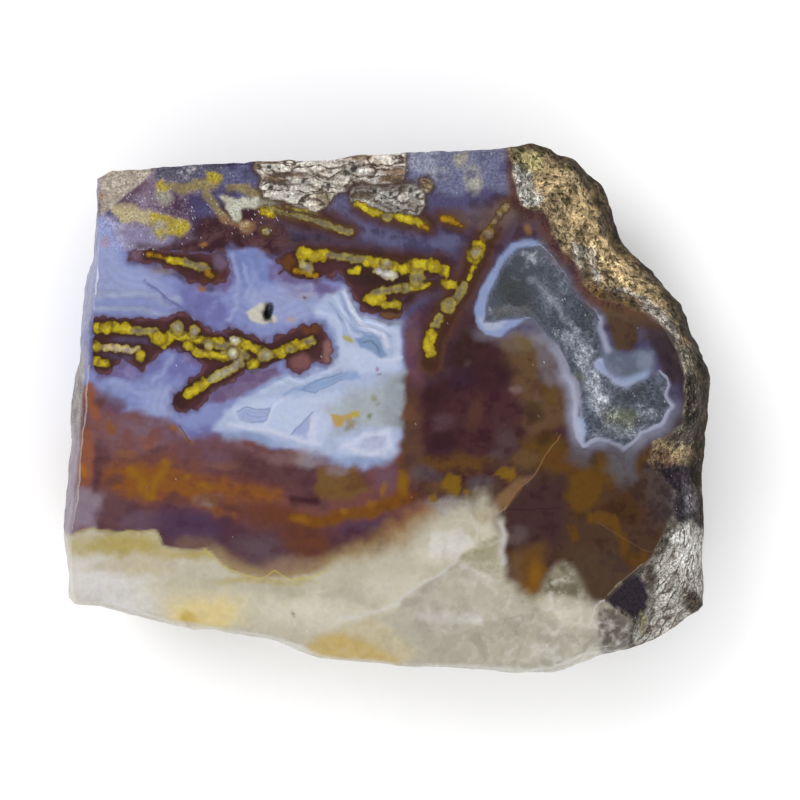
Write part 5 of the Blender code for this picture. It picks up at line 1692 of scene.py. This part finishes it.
def stone_material():
    """Polished and broken agate. The second paint is clouded into the first, level where the
    stone is streaky and fine where it is grainy. Over it come the growth bands, the halos,
    the fine lines and the needles, each with a ragged edge, then the quartz facets, the
    grains of the rind and the glints. Roughness and bump follow the rough mask."""
    material = bpy.data.materials.new("agate_stone")
    material.use_nodes = True
    tree = material.node_tree
    shader = tree.nodes["Principled BSDF"]

    def add(kind, **settings):
        made = tree.nodes.new(kind)
        for name, value in settings.items():
            setattr(made, name, value)
        return made

    def plug(value, socket):
        if isinstance(value, bpy.types.NodeSocket):
            tree.links.new(value, socket)
        else:
            socket.default_value = value

    def layer(name):
        return add("ShaderNodeAttribute", attribute_name=name).outputs

    def sum_of(operation, first, second=0.0, third=0.0):
        made = add("ShaderNodeMath", operation=operation)
        for value, socket in zip((first, second, third), made.inputs):
            plug(value, socket)
        return made.outputs[0]

    def plus(first, second):
        return sum_of("ADD", first, second)

    def times(first, second):
        return sum_of("MULTIPLY", first, second)

    def line_of(value, slope, start):
        return sum_of("MULTIPLY_ADD", value, slope, start)

    def ramp(value, low, high, start=0.0, end=1.0):
        made = add("ShaderNodeMapRange", interpolation_type="SMOOTHSTEP")
        for item, socket in zip((value, low, high, start, end), made.inputs):
            plug(item, socket)
        return made.outputs[0]

    def mean_of(amount, first, second):
        made = add("ShaderNodeMix", data_type="FLOAT")
        plug(amount, made.inputs[0])
        plug(first, made.inputs[2])
        plug(second, made.inputs[3])
        return made.outputs[0]

    def blend(amount, first, second, kind="MIX"):
        made = add("ShaderNodeMix", data_type="RGBA", blend_type=kind)
        plug(amount, made.inputs[0])
        plug(first, made.inputs[6])
        plug(second, made.inputs[7])
        return made.outputs[2]

    def toned(colour, tone):
        return blend(1.0, colour, tone, "MULTIPLY")

    def noise(size, detail, seed=0.0, at=None):
        made = add("ShaderNodeTexNoise", noise_dimensions="4D")
        tree.links.new(at or where, made.inputs["Vector"])
        made.inputs["W"].default_value = seed
        made.inputs["Scale"].default_value = 1.0 / (size * MM)
        made.inputs["Detail"].default_value = detail
        return made.outputs["Fac"]

    def cells(size, feature="F1", at=None):
        made = add("ShaderNodeTexVoronoi", feature=feature)
        tree.links.new(at or where, made.inputs["Vector"])
        made.inputs["Scale"].default_value = 1.0 / (size * MM)
        return made.outputs

    def drawn_out(turn, stretch):
        made = add("ShaderNodeMapping", vector_type="TEXTURE")
        tree.links.new(where, made.inputs["Vector"])
        made.inputs["Rotation"].default_value = (0.0, 0.0, turn)
        made.inputs["Scale"].default_value = (stretch, 1.0, 1.0)
        return made.outputs[0]

    where = add("ShaderNodeTexCoord").outputs["Object"]
    fine = noise(0.7, 4.0)
    cloud = noise(1.7, 8.0, 2.0)
    streak = noise(1.5, 7.0, 3.0, layer("flow")["Vector"])
    sand = noise(0.32, 3.0, 5.0)
    grainy_mask = layer("grainy")["Fac"]

    # The paint, with its second clouded into it
    first = layer("paint")
    pattern = mean_of(layer("streaky")["Fac"], cloud, streak)
    pattern = mean_of(grainy_mask, pattern, sand)
    threshold = line_of(first["Alpha"], -0.56, 0.78)
    soft = line_of(grainy_mask, -0.05, 0.09)
    amount = ramp(pattern, sum_of("SUBTRACT", threshold, soft), plus(threshold, soft))
    base = blend(amount, first["Color"], layer("second_paint")["Color"])
    base = toned(base, plus(line_of(fine, 0.24, 0.60), times(pattern, 0.56)))

    # Growth bands
    band_at = plus(layer("band_place")["Fac"], times(fine, 0.35))
    wide = sum_of("SINE", times(band_at, 2.0 * math.pi / WIDE_BAND))
    narrow = sum_of("SINE", times(band_at, 2.0 * math.pi / NARROW_BAND))
    bands = plus(times(wide, 0.20), times(narrow, 0.10))
    base = toned(base, line_of(bands, layer("banded")["Fac"], 1.0))

    # Halos, dusky at their ragged rims
    scallops = cells(1.25)["Distance"]
    ragged = plus(line_of(fine, 0.45, -0.22), line_of(scallops, -0.95, 0.42))
    halo_edge = plus(layer("halo")["Fac"], ragged)
    base = blend(ramp(halo_edge, -0.85, 0.0, 0.0, 0.65), base, HALO_RIM)
    halo_tone = plus(line_of(cloud, 0.9, 0.30), times(sand, 0.5))
    halo_tone = times(halo_tone, ramp(halo_edge, 0.05, 0.50, 0.60, 1.0))
    base = blend(ramp(halo_edge, -0.14, 0.14), base, toned(layer("halo_paint")["Color"], halo_tone))

    # Fine lines
    line_layer = layer("line_paint")
    line_away = plus(sum_of("ABSOLUTE", layer("line")["Fac"]), line_of(sand, 1.4, -0.7))
    inside_line = ramp(line_away, 1.35, 0.65)
    base = blend(times(inside_line, line_layer["Alpha"]), base, line_layer["Color"])

    # Needles and beads, in small lobes
    lobes = cells(0.95)
    lobe_rise = line_of(lobes["Distance"], -0.36, 0.16)
    inlay_edge = plus(plus(layer("inlay")["Fac"], lobe_rise), line_of(fine, 0.7, -0.36))
    inlay_tone = times(line_of(lobes["Distance"], -0.38, 1.16), line_of(sand, 0.7, 0.65))
    inlay_tone = times(inlay_tone, ramp(inlay_edge, 0.0, 0.30, 0.45, 1.10))
    lump_tint = blend(ramp(noise(1.1, 3.0, 6.0), 0.42, 0.58), *LUMP_TINTS)
    inlaid = toned(toned(layer("inlay_paint")["Color"], inlay_tone), lump_tint)
    base = blend(ramp(inlay_edge, -0.08, 0.10), base, inlaid)

    # Facets and milky veins of the quartz
    milky_mask = layer("milky")["Fac"]
    warped = add("ShaderNodeVectorMath", operation="MULTIPLY_ADD")
    warp_colour = add("ShaderNodeTexNoise")
    tree.links.new(where, warp_colour.inputs["Vector"])
    warp_colour.inputs["Scale"].default_value = 1.0 / (3.0 * MM)
    tree.links.new(warp_colour.outputs["Color"], warped.inputs[0])
    warped.inputs[1].default_value = (3.5 * MM, 3.5 * MM, 3.5 * MM)
    tree.links.new(where, warped.inputs[2])
    facets = cells(4.2, at=warped.outputs[0])["Color"]
    small_facets = cells(1.6, at=warped.outputs[0])["Color"]
    facet_tone = plus(line_of(facets, 0.26, 0.70), times(small_facets, 0.18))
    facet_tone = plus(facet_tone, times(cells(6.5)["Color"], 0.20))
    base = blend(milky_mask, base, toned(base, facet_tone))
    vein_at = cells(3.2, "DISTANCE_TO_EDGE", warped.outputs[0])["Distance"]
    vein = times(ramp(plus(vein_at, line_of(fine, 0.40, -0.20)), 0.24, 0.0), milky_mask)
    vein = times(vein, ramp(cloud, 0.42, 0.64, 0.0, 0.38))
    base = blend(vein, base, VEIN_WHITE)

    # Grains of the rind
    grains = cells(0.50)
    coarse = cells(1.1)
    grain_tone = plus(times(grains["Color"], 0.6), times(coarse["Color"], 0.25))
    grain_tone = ramp(plus(grain_tone, times(sand, 0.5)), 0.36, 1.02, 0.20, 1.95)
    grain_tone = times(grain_tone, ramp(noise(2.4, 5.0, 9.0), 0.36, 0.62, 0.45, 1.40))
    base = blend(layer("grain")["Fac"], base, toned(base, grain_tone))

    # Cracks and pores
    crack_at = add("ShaderNodeVectorMath", operation="MULTIPLY_ADD")
    tree.links.new(warp_colour.outputs["Color"], crack_at.inputs[0])
    crack_at.inputs[1].default_value = (1.6 * MM, 3.4 * MM, 0.0)
    tree.links.new(layer("flow")["Vector"], crack_at.inputs[2])
    crack = cells(1.35, "DISTANCE_TO_EDGE", crack_at.outputs[0])["Distance"]
    crack = ramp(plus(crack, line_of(fine, 0.24, -0.10)), 0.13, 0.03)
    holes = cells(1.05)
    hole = plus(holes["Distance"], line_of(holes["Color"], 0.60, 0.0))
    hollow = sum_of("MAXIMUM", crack, ramp(hole, 0.34, 0.22))
    hollow = times(hollow, ramp(cloud, 0.36, 0.50, 0.35, 1.0))
    hollow = times(hollow, layer("porous")["Fac"])
    base = blend(hollow, base, HOLLOW_BROWN)

    # Grit of the rough stone
    rough_mask = layer("rough")["Fac"]
    relief = line_of(ramp(sand, 0.30, 0.72, -0.62, 0.85), rough_mask, 1.0)
    base = toned(base, relief)

    # Glints of crystal: painted highlights, white specks laid into the colour
    glint_mask = layer("glint")["Fac"]
    sparks = cells(0.17, at=drawn_out(-1.05, 2.8))
    over = sum_of("SUBTRACT", sparks["Color"], line_of(glint_mask, -0.21, 0.985))
    spark = ramp(sum_of("SUBTRACT", sparks["Distance"], over), 0.42, 0.14)
    spark = times(spark, ramp(over, 0.0, 0.03))
    spark = times(spark, line_of(noise(0.9, 2.0, 11.0), 1.4, -0.15))
    base = blend(spark, base, GLINT_WHITE)

    # Polish, and the fine bumps of unpolished stone
    tree.links.new(base, shader.inputs["Base Color"])
    polish = ramp(line_of(fine, 0.2, rough_mask), 0.0, 1.2, POLISHED, BROKEN)
    tree.links.new(polish, shader.inputs["Roughness"])
    shader.inputs["Specular IOR Level"].default_value = SHINE
    bump = add("ShaderNodeBump")
    bump.inputs["Distance"].default_value = BUMP_HEIGHT * MM
    plug(times(rough_mask, 0.6), bump.inputs["Strength"])
    bump_relief = plus(noise(0.5, 5.0, 8.0), times(grains["Distance"], 0.5))
    plug(bump_relief, bump.inputs["Height"])
    tree.links.new(bump.outputs["Normal"], shader.inputs["Normal"])
    return material


stone = bpy.data.objects.new("agate_stone", stone_mesh())
stone.data.materials.append(stone_material())
bpy.context.scene.collection.objects.link(stone)
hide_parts("agate")
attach(stone, "root")

# The pale floor that the stone lies on: a wide matt white sheet, as studios use it, just
# below the sawn back. Its half width and its drop are in metres.
FLOOR_HALF = 0.9
FLOOR_DROP = 0.0002
FLOOR_WHITE = (0.95, 0.95, 0.955, 1.0)
FLOOR_ROUGH = 0.9
floor_mesh = bpy.data.meshes.new("floor")
floor_mesh.from_pydata(
    [(x * FLOOR_HALF, y * FLOOR_HALF, -FLOOR_DROP) for x, y in ((-1, -1), (1, -1), (1, 1), (-1, 1))],
    [], [(0, 1, 2, 3)])
floor_material = bpy.data.materials.new("floor_white")
floor_material.use_nodes = True
floor_shader = floor_material.node_tree.nodes["Principled BSDF"]
floor_shader.inputs["Base Color"].default_value = FLOOR_WHITE
floor_shader.inputs["Roughness"].default_value = FLOOR_ROUGH
floor_mesh.materials.append(floor_material)
floor = bpy.data.objects.new("floor", floor_mesh)
bpy.context.scene.collection.objects.link(floor)

# Soft studio light: a broad light high on the upper left, a weaker one in front, and an
# even pale surround. Each light has a name, a place and a width in metres, and a power in watts.
SURROUND_LIGHT = 1.04
LIGHTS = (
    ("key_light", (-0.55, 0.45, 0.85), 0.60, 3.5),
    ("front_light", (0.15, -0.75, 0.80), 0.60, 1.5),
)
for name, spot, width, power in LIGHTS:
    lamp = bpy.data.lights.new(name, "AREA")
    lamp.shape = "DISK"
    lamp.size = width
    lamp.energy = power
    holder = bpy.data.objects.new(name, lamp)
    holder.location = spot
    direction = -holder.location.normalized()
    holder.rotation_euler = direction.to_track_quat("-Z", "Y").to_euler()
    bpy.context.scene.collection.objects.link(holder)
world = bpy.data.worlds.new("surround")
world.use_nodes = True
surround = world.node_tree.nodes["Background"]
surround.inputs["Color"].default_value = (1.0, 1.0, 1.0, 1.0)
surround.inputs["Strength"].default_value = SURROUND_LIGHT
bpy.context.scene.world = world
bpy.context.scene.view_settings.view_transform = "Standard"

# The camera looks straight down at the face, from 600 mm above it, and sees 112 mm of it from
# left to right. The width of its film is in millimetres too.
CAMERA_AT = (1.74, 1.26)
CAMERA_ABOVE = 600.0
VIEW_WIDTH = 112.0
FILM_WIDTH = 36.0
camera_data = bpy.data.cameras.new("camera")
camera_data.sensor_width = FILM_WIDTH
camera_data.lens = FILM_WIDTH * CAMERA_ABOVE / VIEW_WIDTH
camera = bpy.data.objects.new("camera", camera_data)
camera.location = (CAMERA_AT[0] * MM, CAMERA_AT[1] * MM, (THICKNESS + CAMERA_ABOVE) * MM)
bpy.context.scene.collection.objects.link(camera)
bpy.context.scene.camera = camera
